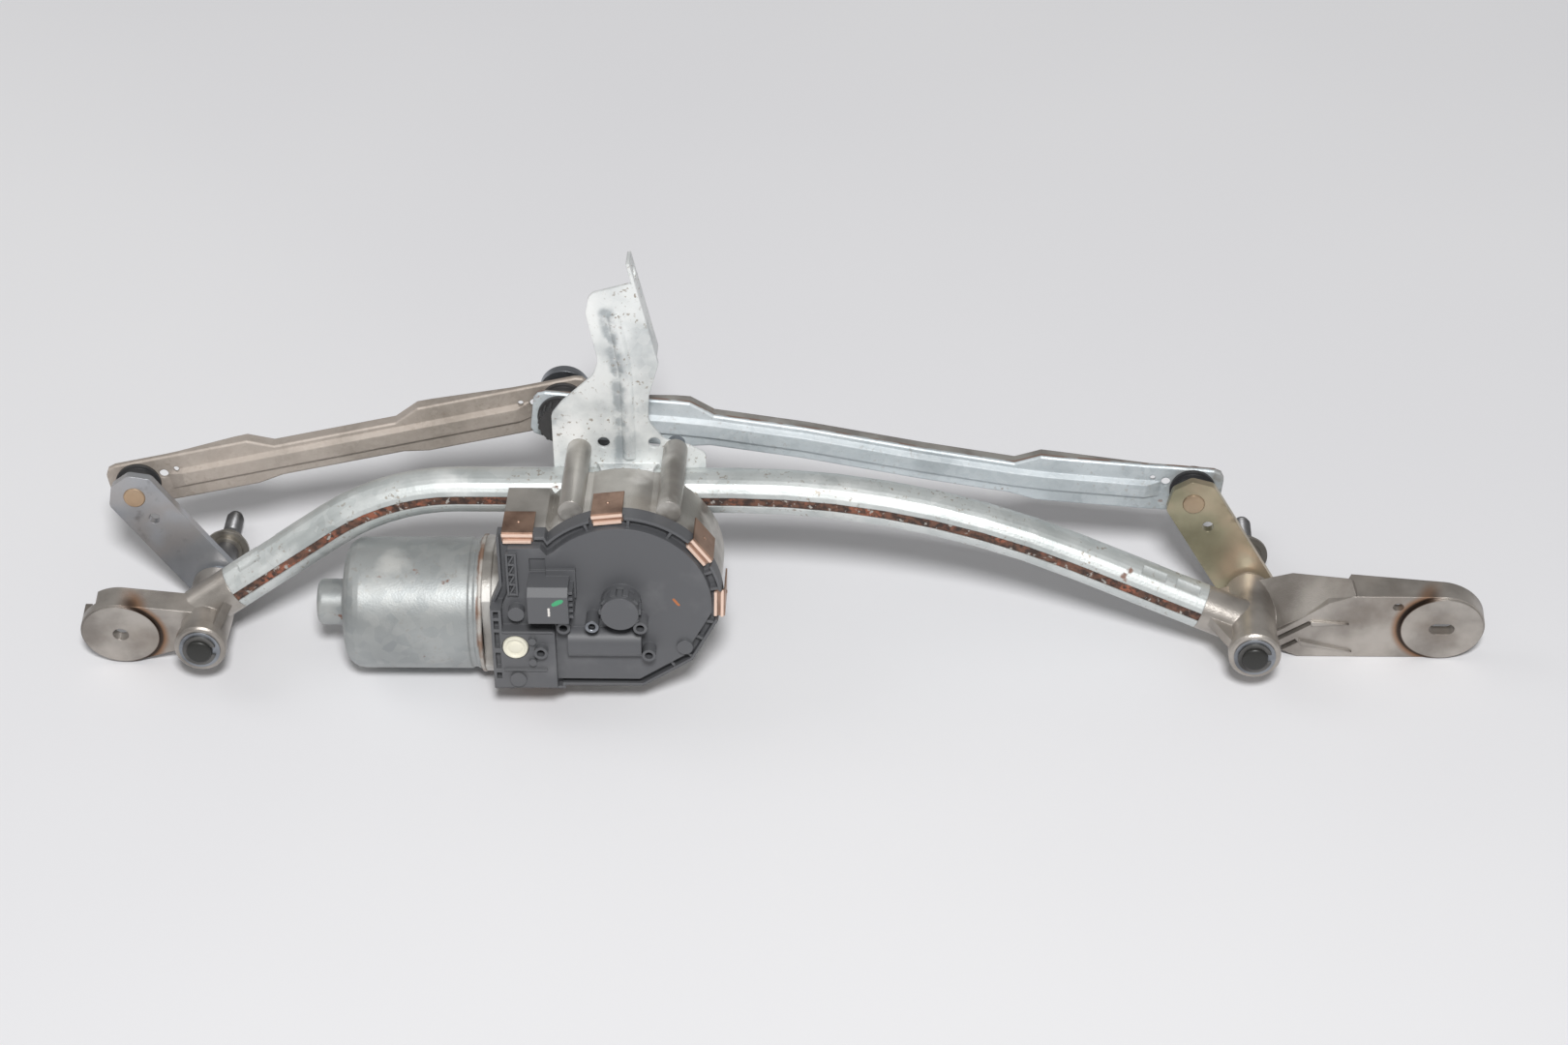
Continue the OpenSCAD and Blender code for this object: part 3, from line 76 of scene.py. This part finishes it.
class Socket:
    """Output of a shader node, with arithmetic."""

    def __init__(self, paint, out):
        self.paint = paint
        self.out = out

    def math(self, operation, other=0.0, clamp=False):
        ins = {0: self, 1: other}
        return self.paint.add("ShaderNodeMath", ins, operation=operation, use_clamp=clamp)

    def __add__(self, other):
        return self.math("ADD", other)

    def __sub__(self, other):
        return self.math("SUBTRACT", other)

    def __mul__(self, other):
        return self.math("MULTIPLY", other)

    def __rsub__(self, other):
        return self.math("MULTIPLY", -1.0).math("ADD", other)

    __radd__ = __add__

    def step(self, low, high):
        """0 below low, 1 above high, smooth between; falls where low is above high."""
        rise, first, last = (0.0, low, high) if low < high else (1.0, high, low)
        ins = {"Value": self, "From Min": first, "From Max": last,
               "To Min": rise, "To Max": 1.0 - rise}
        return self.paint.add("ShaderNodeMapRange", ins, interpolation_type="SMOOTHSTEP")

    def mix(self, low, high):
        """Colour low at 0, colour high at 1."""
        return self.paint.add("ShaderNodeMixRGB", {"Fac": self, "Color1": low, "Color2": high})


class Paint:
    """A procedural material under construction. Lengths are metres, scales are cells per metre."""

    def __init__(self, name):
        self.material = bpy.data.materials.new(name)
        self.material.use_nodes = True
        self.tree = self.material.node_tree
        self.tree.nodes.clear()
        self.place = self.add("ShaderNodeTexCoord", out="Object")

    def add(self, kind, ins=None, out=0, **settings):
        """Adds one node, sets or links its inputs, and returns the named output."""
        node = self.tree.nodes.new(kind)
        for key, value in settings.items():
            setattr(node, key, value)
        for key, value in (ins or {}).items():
            if isinstance(value, Socket):
                self.tree.links.new(value.out, node.inputs[key])
            else:
                node.inputs[key].default_value = value
        return Socket(self, node.outputs[out])

    def vector(self, operation, first, second):
        """Number that comes out of two vectors."""
        ins = {0: first, 1: second}
        return self.add("ShaderNodeVectorMath", ins, out="Value", operation=operation)

    def noise(self, scale, detail, shift=(0, 0, 0)):
        place = self.add("ShaderNodeMapping", {"Vector": self.place, "Location": shift})
        return self.add("ShaderNodeTexNoise", {"Vector": place, "Scale": scale, "Detail": detail})

    def grains(self, scale):
        """Random grey per cell, for crystals."""
        ins = {"Vector": self.place, "Scale": scale}
        cells = self.add("ShaderNodeTexVoronoi", ins, out="Color")
        return self.add("ShaderNodeSeparateColor", {"Color": cells})

    def reach(self, point):
        """Distance from a row place."""
        return self.vector("DISTANCE", self.place, point)

    def near(self, start, end):
        """Distance from the straight line between two row places."""
        span = end - start
        rel = self.add("ShaderNodeVectorMath", {0: self.place, 1: start}, operation="SUBTRACT")
        share = self.vector("DOT_PRODUCT", rel, span / span.length_squared)
        share = share.math("ADD", 0.0, clamp=True)
        foot = self.add("ShaderNodeVectorMath", {0: span, 3: share}, operation="SCALE")
        return self.vector("DISTANCE", rel, foot)

    def past(self, point, axis):
        """Distance in front of the plane through a row place, along a unit direction."""
        return self.vector("DOT_PRODUCT", self.place, axis) - axis.dot(point)

    def forward(self):
        """Distance towards the cover side from the front of the barrels."""
        return self.past(at(0, 0, 0), heading(0, 0, 1))

    def done(self, color, rough, metal, bump=None, height=0.0, edge=0.0005):
        """Principled surface; edge is the radius by which sharp edges catch the light."""
        normal = self.add("ShaderNodeBevel", {"Radius": edge}, samples=4)
        if bump is not None:
            ins = {"Height": bump, "Strength": 0.6, "Distance": height, "Normal": normal}
            normal = self.add("ShaderNodeBump", ins)
        ins = {"Base Color": color, "Roughness": rough, "Metallic": metal, "Normal": normal}
        shader = self.add("ShaderNodeBsdfPrincipled", ins)
        node = self.tree.nodes.new("ShaderNodeOutputMaterial")
        self.tree.links.new(shader.out, node.inputs["Surface"])
        return self.material


RUST = tone(120, 72, 44)
FOLD_RUST = tone(132, 96, 76)
SOOT = tone(58, 46, 38)
SPECK = tone(150, 136, 120)
WHITE_BLOOM = tone(232, 230, 226)
RUBBER_STAIN = tone(140, 92, 46)
DUST = tone(150, 146, 140)


def sheet_metal(name, base, dark, pale, bloom, rough=0.36, metal=0.45, cell=170, rust=0.0,
                blotch=22, smudges_and_shade=(), specks=0.3, folds=None):
    """Plated sheet: crystals, cloudy tarnish, pale bloom and rust specks.

    Smudges and painted shade run along pressed lines: start, end, reach, colour. The rod end gets
    a smudge of dirt; the bracket's bead gets painted shade on its flanks. Folds are dull edges
    behind a plane: point, axis, faded colour, dirty colour.
    """
    p = Paint(name)
    cloud = p.noise(blotch, 6.0).step(0.40, 0.70)
    color = (cloud * 0.7).mix(base, dark)
    color = (p.grains(cell) * 0.5 * p.noise(35, 3.0)).mix(color, pale)
    white = p.noise(blotch * 0.8, 8.0, shift=(3, 1, 7)).step(0.52, 0.70) * bloom
    color = white.mix(color, pale)
    # each line darkens the colour along it: a smudge of dirt at the rod end, and painted shade on
    # the flanks of the bracket's bead
    for start, end, reach, line_tone in smudges_and_shade:
        broken = p.noise(140, 8.0, shift=(8, 3, 2)).step(0.36, 0.62)
        dull = p.near(start, end).step(reach, reach * 0.4) * broken
        color = (dull * 0.75).mix(color, line_tone)
    if folds:
        point, axis, faded, dirty = folds
        depth = p.past(point, axis)
        dull = depth.step(0.0, -0.0008)
        metal = metal - dull * 0.15
        rough = rough + dull * 0.12
        dirt = p.noise(60, 6.0).step(0.42, 0.62).mix(faded, dirty)
        color = (dull * 0.85).mix(color, dirt)
        line = depth.step(-0.0020, -0.0006) * depth.step(0.0005, 0.0)
        line = line * p.noise(90, 8.0).step(0.40, 0.58)
        color = (line * 0.8).mix(color, FOLD_RUST)
    spots = p.noise(70, 9.0, shift=(5, 2, 1)).step(0.72 - rust, 0.77 - rust)
    color = (spots * 0.85).mix(color, RUST)
    patches = p.noise(45, 5.0, shift=(4, 4, 8)).step(0.44, 0.62)
    pepper = p.noise(420, 4.0, shift=(2, 9, 4)).step(0.58, 0.68) * patches
    color = (pepper * specks).mix(color, SPECK)
    fine = p.noise(900, 3.0)
    rough = rough + white * 0.25 + fine * 0.1 + spots * 0.3
    metal = (metal - white * 0.35 - spots * 0.5).math("MAXIMUM", 0.0)
    return p.done(color, rough, metal, fine + p.noise(120, 3.0), 0.00012, edge=0.001)


def cast_metal(name, base, dark, brown, stain=None, bloom=0.0):
    """Raw die casting: grainy skin, brown tarnish and white bloom.

    A stain is the arc that a rubber bush left beside a pad: centre, radius, side.
    """
    p = Paint(name)
    color = p.noise(30, 8.0).step(0.35, 0.72).mix(base, dark)
    tarnish = p.noise(16, 6.0, shift=(2, 8, 3)).step(0.50, 0.75) * 0.45
    color = tarnish.mix(color, brown)
    white = p.noise(34, 9.0, shift=(6, 1, 4)).step(0.50, 0.68) * bloom
    color = white.mix(color, WHITE_BLOOM)
    if stain:
        centre, radius, side = stain
        away = p.reach(centre) * (1 / radius)
        over = p.past(centre, side) * (1 / radius)
        arc = over.step(-0.1, 0.5) * p.noise(24, 3.0).step(0.25, 0.5)
        halo = away.step(0.94, 1.0) * away.step(1.26, 1.08) * arc
        color = (halo * 0.75).mix(color, RUBBER_STAIN)
        ring = away.step(0.94, 0.98) * away.step(1.12, 1.03) * arc
        color = ring.mix(color, SOOT)
    fine = p.noise(1400, 3.0)
    rough = 0.29 + tarnish * 0.25 + white * 0.3 + fine * 0.12
    metal = 0.68 - tarnish * 0.3 - white * 0.5
    return p.done(color, rough, metal, fine + p.noise(220, 4.0), 0.0002, edge=0.0009)


TOOL_MARK = 0.00006


def steel_skin(p, base, dark):
    """Colour and faint tool marks of bare metal."""
    return p.noise(60, 5.0).step(0.4, 0.75).mix(base, dark), p.noise(500, 2.0)


def plain_metal(name, base, dark, rough=0.32, metal=0.95):
    """Machined or phosphated steel."""
    p = Paint(name)
    color, lines = steel_skin(p, base, dark)
    return p.done(color, rough + lines * 0.16, metal, lines, TOOL_MARK, edge=0.0004)


def shaft_metal(name, base, dark, cap):
    """Turned steel whose front end carries a dark cap of grease."""
    p = Paint(name)
    color, lines = steel_skin(p, base, dark)
    greasy = p.forward().step(-0.006, -0.003)
    rough = 0.32 + lines * 0.16
    return p.done(greasy.mix(color, cap), rough, 0.7 - greasy * 0.6, lines, TOOL_MARK, edge=0.0003)


def clip_metal(name, base, dark, highlight_tone, folds):
    """Coppered spring steel, tarnished on the flats, with a painted highlight on the folds past a
    given depth.
    """
    p = Paint(name)
    color, lines = steel_skin(p, base, dark)
    # painted highlight: past the given depth the folded bars take the bright highlight colour and
    # are made less metallic
    wear_and_highlight = p.forward().step(folds, folds + 0.0006)
    rough = 0.36 + lines * 0.14
    return p.done(wear_and_highlight.mix(color, highlight_tone), rough, 0.8 - wear_and_highlight * 0.65, lines, TOOL_MARK)


def tinted_steel(name, base, dark, warm, cool):
    """Passivated steel whose film runs from warm to cool tints."""
    p = Paint(name)
    color = p.noise(30, 6.0).step(0.36, 0.7).mix(base, dark)
    film = p.noise(18, 3.0, shift=(4, 2, 9))
    color = (film.step(0.45, 0.62) * 0.6).mix(color, warm)
    color = (film.step(0.60, 0.70) * 0.55).mix(color, cool)
    grime = p.noise(90, 8.0).step(0.62, 0.78)
    color = (grime * 0.55).mix(color, SOOT)
    fine = p.noise(700, 3.0)
    return p.done(color, 0.30 + fine * 0.12 + grime * 0.2, 0.6 - grime * 0.3, fine, 0.0001)


def moulding(name, base, wear_and_highlight, rough=0.4, marks=(), dust=0.10):
    """Moulded plastic with a fine grain, scuffs and dust.

    Marks are strokes of paint: start, end, half width, colour.
    """
    p = Paint(name)
    scuff = p.noise(40, 8.0).step(0.52, 0.8)
    color = (scuff * 0.6).mix(base, wear_and_highlight)
    color = (p.noise(9, 4.0, shift=(1, 4, 2)).step(0.45, 0.75) * dust).mix(color, DUST)
    for start, end, half, stroke in marks:
        away = p.near(start, end) + (p.noise(700, 3.0) - 0.5) * half
        color = away.step(half, half * 0.8).mix(color, stroke)
    fine = p.noise(1800, 2.0)
    return p.done(color, rough + scuff * 0.15 + fine * 0.08, 0.0, fine, 0.00005, edge=0.0006)


def rust_scale(name):
    """Scaly rust with dark pits, orange flecks and spots of bare zinc."""
    p = Paint(name)
    color = p.noise(260, 8.0).step(0.38, 0.62).mix(tone(116, 84, 70), tone(68, 55, 50))
    flecks = p.noise(70, 9.0, shift=(1, 6, 2)).step(0.50, 0.62) * p.noise(420, 5.0).step(0.40, 0.60)
    color = flecks.mix(color, tone(160, 100, 78))
    bare = p.noise(300, 6.0, shift=(7, 1, 3)).step(0.60, 0.68)
    color = bare.mix(color, tone(176, 172, 166))
    return p.done(color, 0.8, 0.1, p.noise(500, 6.0), 0.0006)


# Colours of the materials: base, dark and pale or brown
CAST = (tone(190, 184, 177), tone(138, 132, 126), tone(126, 110, 95))
MOTOR_CAST = (tone(190, 186, 180), tone(152, 148, 142), tone(146, 132, 116))
GALVANISED = (tone(206, 211, 210), tone(164, 170, 169), tone(240, 241, 239))
BRACKET_ZINC = (tone(238, 241, 240), tone(160, 168, 171), tone(252, 252, 250))
YOKE_ZINC = (tone(168, 172, 172), tone(138, 142, 143), tone(200, 200, 196))
ROD_ZINC = (tone(206, 214, 218), tone(166, 174, 178), tone(236, 240, 242))
ROD_STEEL = (tone(194, 183, 173), tone(156, 146, 136), tone(216, 207, 198))
CHARCOAL = (tone(93, 94, 97), tone(126, 126, 128))

# Stains, dull edges, paint marks and painted shade along the bracket's bead, at places on the part
LEFT_STAIN = (at(-338, -5, -20.5), 0.0222, Vector((1, 0, 0)))
RIGHT_STAIN = (at(394.4, -2.3, -30.5), 0.0232, Vector((-1, 0, 0)))
ROD_END = [(at(260, 57, -80), at(268, 55, -80), 0.020, tone(138, 128, 114))]
ROD_FOLDS = (at(-35, 90, -84), heading(-0.0105, 0, 1), tone(146, 140, 132), tone(116, 108, 100))
YOKE_RIM = (at(-135, 12, -30), Vector((-1, 0, 0)), tone(198, 193, 186), tone(142, 108, 84))
BRACKET_FACE = -61.9
# painted shade on the flanks of the bracket's pressed bead, broken up by noise
BEAD_SHADE_TONE = tone(150, 158, 162)
BEAD_LINE = [at(x, y, BRACKET_FACE) for x, y in ((-57, 84), (-57, 141), (-62.3, 178.7))]
BEAD_SHADE = [(start, end, 0.006, BEAD_SHADE_TONE) for start, end in zip(BEAD_LINE, BEAD_LINE[1:])]
COVER_FACE = 14.1
SOCKET_FACE = COVER_FACE + 18
COVER_MARKS = [
    (at(-25.5, 45, COVER_FACE), at(-23, 41.5, COVER_FACE), 0.0008, tone(186, 112, 66)),
]
SOCKET_MARKS = [
    (at(-88.6, 53.6, SOCKET_FACE), at(-84.8, 55.6, SOCKET_FACE), 0.0014, tone(72, 172, 120)),
    (at(-91.5, 50.6, SOCKET_FACE), at(-91.5, 46.4, SOCKET_FACE), 0.0007, tone(232, 228, 222)),
]
CLIP_FOLDS = 0.0088

PAINTS = {
    "frame_tube": sheet_metal("tube_galvanise", *GALVANISED, 0.7, rust=0.02, specks=0.75),
    # the bracket's lines along its bead are painted shade
    "centre_bracket": sheet_metal("bracket_galvanise", *BRACKET_ZINC, 0.8, metal=0.15, rust=0.05,
                                  blotch=34, smudges_and_shade=BEAD_SHADE, specks=0.8),
    "right_rod": sheet_metal("right_rod_zinc", *ROD_ZINC, 0.3, metal=0.35, cell=320,
                             folds=ROD_FOLDS, smudges_and_shade=ROD_END),
    "motor_yoke": sheet_metal("yoke_zinc", *YOKE_ZINC, 0.7, rough=0.40, rust=0.05, blotch=30,
                              folds=YOKE_RIM),
    "left_rod": sheet_metal("left_rod_steel", *ROD_STEEL, 0.3, rough=0.48, cell=400),
    "left_lever": tinted_steel("left_lever_steel", tone(178, 181, 186), tone(150, 153, 158),
                               tone(180, 174, 171), tone(186, 192, 200)),
    "right_lever": tinted_steel("right_lever_passivate", tone(174, 168, 142), tone(136, 131, 108),
                                tone(204, 178, 156), tone(156, 172, 158)),
    "left_lever_ball": tinted_steel("left_rivet", tone(196, 172, 146), tone(150, 126, 104),
                                    tone(206, 176, 144), tone(190, 178, 164)),
    "right_lever_ball": tinted_steel("right_rivet", tone(180, 160, 136), tone(132, 112, 92),
                                     tone(192, 168, 138), tone(170, 164, 152)),
    "left_pivot_housing": cast_metal("left_casting", *CAST, stain=LEFT_STAIN),
    "right_pivot_housing": cast_metal("right_casting", *CAST, stain=RIGHT_STAIN),
    "gear_housing": cast_metal("motor_casting", *MOTOR_CAST, bloom=0.6),
    "gear_cover": moulding("cover_plastic", *CHARCOAL, marks=COVER_MARKS),
    "connector_socket": moulding("connector_plastic", *CHARCOAL, marks=SOCKET_MARKS),
    "connector_pins": plain_metal("pin_copper", tone(180, 132, 92), tone(130, 92, 62)),
    # the clips' third colour is a painted highlight on their folded bars
    "cover_clips": clip_metal("clip_copper", tone(178, 148, 130), tone(128, 102, 88),
                              tone(244, 214, 196), CLIP_FOLDS),
    "cover_cap": moulding("cap_plastic", *CHARCOAL),
    "left_shaft_cap": plain_metal("left_cup_steel", tone(156, 151, 143), tone(96, 90, 83),
                                  metal=0.7),
    "right_shaft_cap": plain_metal("right_cup_steel", tone(152, 148, 142), tone(96, 91, 86),
                                   metal=0.7),
}
SLOT_PAINTS = {
    "plain_steel": plain_metal("steel", tone(156, 160, 166), tone(112, 114, 118)),
    "dark_steel": plain_metal("dark_steel", tone(112, 111, 109), tone(70, 69, 68), 0.38, 0.6),
    "bronze": plain_metal("bronze", tone(170, 130, 78), tone(120, 86, 50), 0.45),
    "copper": plain_metal("copper", tone(196, 150, 126), tone(140, 104, 84), 0.26, 0.9),
    "dark_plastic": moulding("black_plastic", tone(50, 50, 52), tone(80, 80, 82)),
    "white_plastic": moulding("cream_plastic", tone(238, 234, 216), tone(214, 206, 182), 0.42,
                              dust=0.05),
    "seal_rubber": moulding("rubber", tone(26, 26, 27), tone(44, 44, 45), 0.7),
    "board": moulding("board", tone(24, 92, 52), tone(44, 110, 70)),
    "magnet": plain_metal("magnet", tone(62, 62, 64), tone(40, 40, 42), 0.6, 0.4),
}
SLOTS = {s["node"]: s["material_slot"] for s in frame["record"]["subparts"]}
for name, node in frame["nodes"].items():
    node.data.materials.clear()
    node.data.materials.append(PAINTS[name] if name in PAINTS else SLOT_PAINTS[SLOTS[name]])


WELD = 0.0005
SHARP = math.radians(35)
STEPS = 48


def piece(name, bm, place, paint, body):
    """Closes a bmesh drawn in millimetres, puts it at its place in the linkage frame and lets it
    ride a body."""
    bmesh.ops.remove_doubles(bm, verts=bm.verts, dist=WELD)
    bmesh.ops.recalc_face_normals(bm, faces=bm.faces)
    bmesh.ops.transform(bm, matrix=Matrix.Scale(MM, 4) @ STAND @ place, verts=bm.verts)
    mesh = bpy.data.meshes.new(name)
    bm.to_mesh(mesh)
    bm.free()
    mesh.materials.append(paint)
    obj = add_object(name, mesh)
    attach(obj, body)
    return obj


def soft(obj):
    """Smooth shading that keeps sharp edges."""
    obj.data.shade_smooth()
    obj.data.set_sharp_from_angle(angle=SHARP)
    return obj


def turned(profile):
    """Body of revolution about Z through (radius, height) points."""
    bm = bmesh.new()
    tip = bm.verts.new((profile[0][0], 0, profile[0][1]))
    for (r0, z0), (r1, z1) in zip(profile, profile[1:]):
        tip = bmesh.ops.extrude_vert_indiv(bm, verts=[tip])["verts"][0]
        bmesh.ops.translate(bm, verts=[tip], vec=(r1 - r0, 0, z1 - z0))
    bmesh.ops.spin(bm, geom=bm.verts[:] + bm.edges[:], axis=(0, 0, 1), cent=(0, 0, 0),
                   angle=math.tau, steps=STEPS, use_merge=True)
    return bm


# Wiper shafts: bearing length, groove for the ring, fluted cone and a rolled thread
HALF_SPAN = 290
TIP, THREAD, PITCH, TURNS = -133, 18, 1.5, 11
CREST_R, ROOT_R = 5, 4.25
SHOULDER = -108
CONE_END = TIP + THREAD + 1
FIRST_CREST = TIP + THREAD - 0.5
FLUTE = 0.93
SHAFT = [(0, 4), (5.9, 4), (6.6, 3.6), (7, 3), (7, 2.2), (6.1, 2.2), (6.1, 0.8), (7, 0.8),
         (7, SHOULDER), (6.2, SHOULDER), (5.2, CONE_END), (4.4, CONE_END), (4.4, TIP + THREAD)]
for turn in range(TURNS):
    SHAFT += [(CREST_R, FIRST_CREST - PITCH * turn), (ROOT_R, FIRST_CREST - PITCH * (turn + 0.5))]
SHAFT += [(4.1, TIP), (0, TIP)]
shaft_paint = shaft_metal("shaft_steel", tone(128, 128, 130), tone(92, 91, 90), tone(46, 46, 44))
for side, x in (("left", -HALF_SPAN), ("right", HALF_SPAN)):
    bm = turned(SHAFT)
    cone = [v for v in bm.verts
            if CONE_END - 0.5 < v.co.z < SHOULDER + 0.5 and v.co.xy.length < 6.5]
    flutes = [v for v in cone if round(math.atan2(v.co.y, v.co.x) / math.tau * STEPS) % 2]
    bmesh.ops.scale(bm, vec=(FLUTE, FLUTE, 1), verts=flutes)
    place = Matrix.Translation((x, 0, 0))
    shaft = piece(side + "_shaft_turned", bm, place, shaft_paint, side + "_shaft")
    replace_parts(soft(shaft), side + "_shaft")

# Cream plug with a dished face, and the steel eyelet of one boss of the cover
MOTOR = Vector((-54, 44, COVER_FACE))
PLUG_PLACE = Matrix.Translation(MOTOR + Vector((-58.3, -27, 0)))
BOSS_PLACE = Matrix.Translation(MOTOR + Vector((-15.5, -9.6, 0)))
PLUG = [(0, 2), (7.25, 2), (6.85, 6.6), (6.5, 7.1), (5.9, 7.2), (5.3, 6.9), (4.9, 6.4), (3.9, 6.2),
        (3.5, 6.5), (3.1, 6.7), (0, 6.8)]
EYELET = [(1.9, 9.5), (2.1, 9.5), (2.1, 10.9), (2.4, 11.05), (3.5, 11.05), (3.8, 11.2), (3.6, 11.5),
          (2.3, 11.5), (1.9, 11.2), (1.9, 9.5)]
plug = piece("dished_plug", turned(PLUG), PLUG_PLACE, SLOT_PAINTS["white_plastic"], "frame")
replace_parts(soft(plug), "cover_plug")
soft(piece("boss_eyelet", turned(EYELET), BOSS_PLACE, SLOT_PAINTS["plain_steel"], "frame"))

# Rust in the seam of the tube: a strip that follows the bent tube under its open seam
TUBE_TILT, TUBE_DEPTH, TUBE_RISE = math.radians(18.5), 30.5, 75
LEFT_END, LEFT_SLOPE, LEFT_BEND_R = (-274, 18.2), math.radians(33), 130
RIGHT_END, RIGHT_SLOPE, RIGHT_BEND_R = (262, 10.7), math.radians(22), 500
BEND_STEPS = 12
SEAM_TURN, SEAM_R, SEAM_HALF = math.pi / 2 + TUBE_TILT, 11.4, 2.45
RUST_THICK = 0.5
LONG_EDGE, EDGE_CUTS = 8, 6


def bend(end, slope, radius, side):
    """Centre of the arc of one bend; side is 1 where the straight end lies to the left."""
    run = (TUBE_RISE - end[1] - radius * (1 - math.cos(slope))) / math.sin(slope)
    return end[0] + side * (run * math.cos(slope) + radius * math.sin(slope))


def station(x, y, turn):
    """Place and heading of one section, in the plane of the tube."""
    return Matrix.Translation((x, y, 0)) @ Matrix.Rotation(turn, 4, "Z")


def on_bend(centre, radius, turn):
    rise = TUBE_RISE - radius * (1 - math.cos(turn))
    return station(centre - radius * math.sin(turn), rise, turn)


shares = [i / BEND_STEPS for i in range(BEND_STEPS + 1)]
left_centre = bend(LEFT_END, LEFT_SLOPE, LEFT_BEND_R, 1)
right_centre = bend(RIGHT_END, RIGHT_SLOPE, RIGHT_BEND_R, -1)
stations = [station(*LEFT_END, LEFT_SLOPE)]
stations += [on_bend(left_centre, LEFT_BEND_R, LEFT_SLOPE * (1 - share)) for share in shares]
stations += [on_bend(right_centre, RIGHT_BEND_R, -RIGHT_SLOPE * share) for share in shares]
stations += [station(*RIGHT_END, -RIGHT_SLOPE)]

bm = bmesh.new()
sides = [SEAM_TURN + k * SEAM_HALF / SEAM_R for k in (-1, 1)]
across = [Vector((0, SEAM_R * math.cos(side), SEAM_R * math.sin(side))) for side in sides]
edge = bm.edges.new([bm.verts.new(stations[0] @ v) for v in across])
for before, after in zip(stations, stations[1:]):
    grown = bmesh.ops.extrude_edge_only(bm, edges=[edge])["geom"]
    ends = [g for g in grown if isinstance(g, bmesh.types.BMVert)]
    edge = next(g for g in grown if isinstance(g, bmesh.types.BMEdge))
    bmesh.ops.transform(bm, matrix=after @ before.inverted(), verts=ends)
long_edges = [e for e in bm.edges if e.calc_length() > LONG_EDGE]
bmesh.ops.subdivide_edges(bm, edges=long_edges, cuts=EDGE_CUTS, use_grid_fill=True)
bmesh.ops.solidify(bm, geom=bm.faces[:], thickness=RUST_THICK)
plane = Matrix.Translation((0, 0, -TUBE_DEPTH)) @ Matrix.Rotation(-TUBE_TILT, 4, "X")
piece("tube_seam_rust", bm, plane, rust_scale("seam_rust"), "frame")


# Floor, light and camera
def area(name, spot, aim, size, power):
    """Round lamp, in metres and watts."""
    light = bpy.data.lights.new(name, "AREA")
    light.shape = "DISK"
    light.size = size
    light.energy = power
    lamp = add_object(name, light)
    lamp.location = spot
    lamp.rotation_euler = (Vector(aim) - Vector(spot)).to_track_quat("-Z", "Y").to_euler()
    return lamp


FLOOR_HALF = 8
floor_paint = Paint("floor")
floor_blend = floor_paint.noise(1.2, 3.0).step(0.3, 0.7)
floor_tone = floor_blend.mix(tone(232, 232, 235), tone(238, 238, 240))
floor_mesh = bpy.data.meshes.new("floor")
bm = bmesh.new()
bmesh.ops.create_grid(bm, x_segments=1, y_segments=1, size=FLOOR_HALF)
bm.to_mesh(floor_mesh)
bm.free()
floor_mesh.materials.append(floor_paint.done(floor_tone, 0.6, 0.0))
floor = add_object("floor", floor_mesh)

world = bpy.data.worlds.new("studio")
scene.world = world
world.use_nodes = True
background = world.node_tree.nodes["Background"]
background.inputs["Color"].default_value = (1.0, 0.99, 0.98, 1)
background.inputs["Strength"].default_value = 0.25
area("key", (0.25, -2.0, 3.2), (0, 0, 0.05), 0.7, 107)
area("fill", (-1.8, 0.4, 1.6), (0, 0, 0.1), 1.2, 5)

# The camera stands where the photograph was taken from
TILT, SWING, ROLL = math.radians(33.42), math.radians(-2.885), math.radians(1.256)
AIM = Vector((34.3, 86.04, 0))
DISTANCE = 2181.1
FOCAL_PX = 4197.7
PHOTO_WIDTH = 1620
SENSOR = 36.0
turn = Matrix.Rotation(ROLL, 3, "Z") @ Matrix.Rotation(TILT, 3, "X")
turn = (turn @ Matrix.Rotation(SWING, 3, "Y")).transposed()
camera_data = bpy.data.cameras.new("camera")
camera_data.sensor_width = SENSOR
camera_data.lens = FOCAL_PX * SENSOR / PHOTO_WIDTH
camera_data.clip_start = 0.05
camera_data.clip_end = 50
camera = add_object("camera", camera_data)
spot = at(*(AIM + turn.col[2] * DISTANCE))
camera.matrix_world = Matrix.Translation(spot) @ (STAND.to_3x3() @ turn).to_4x4()
scene.camera = camera
scene.view_settings.view_transform = "Standard"
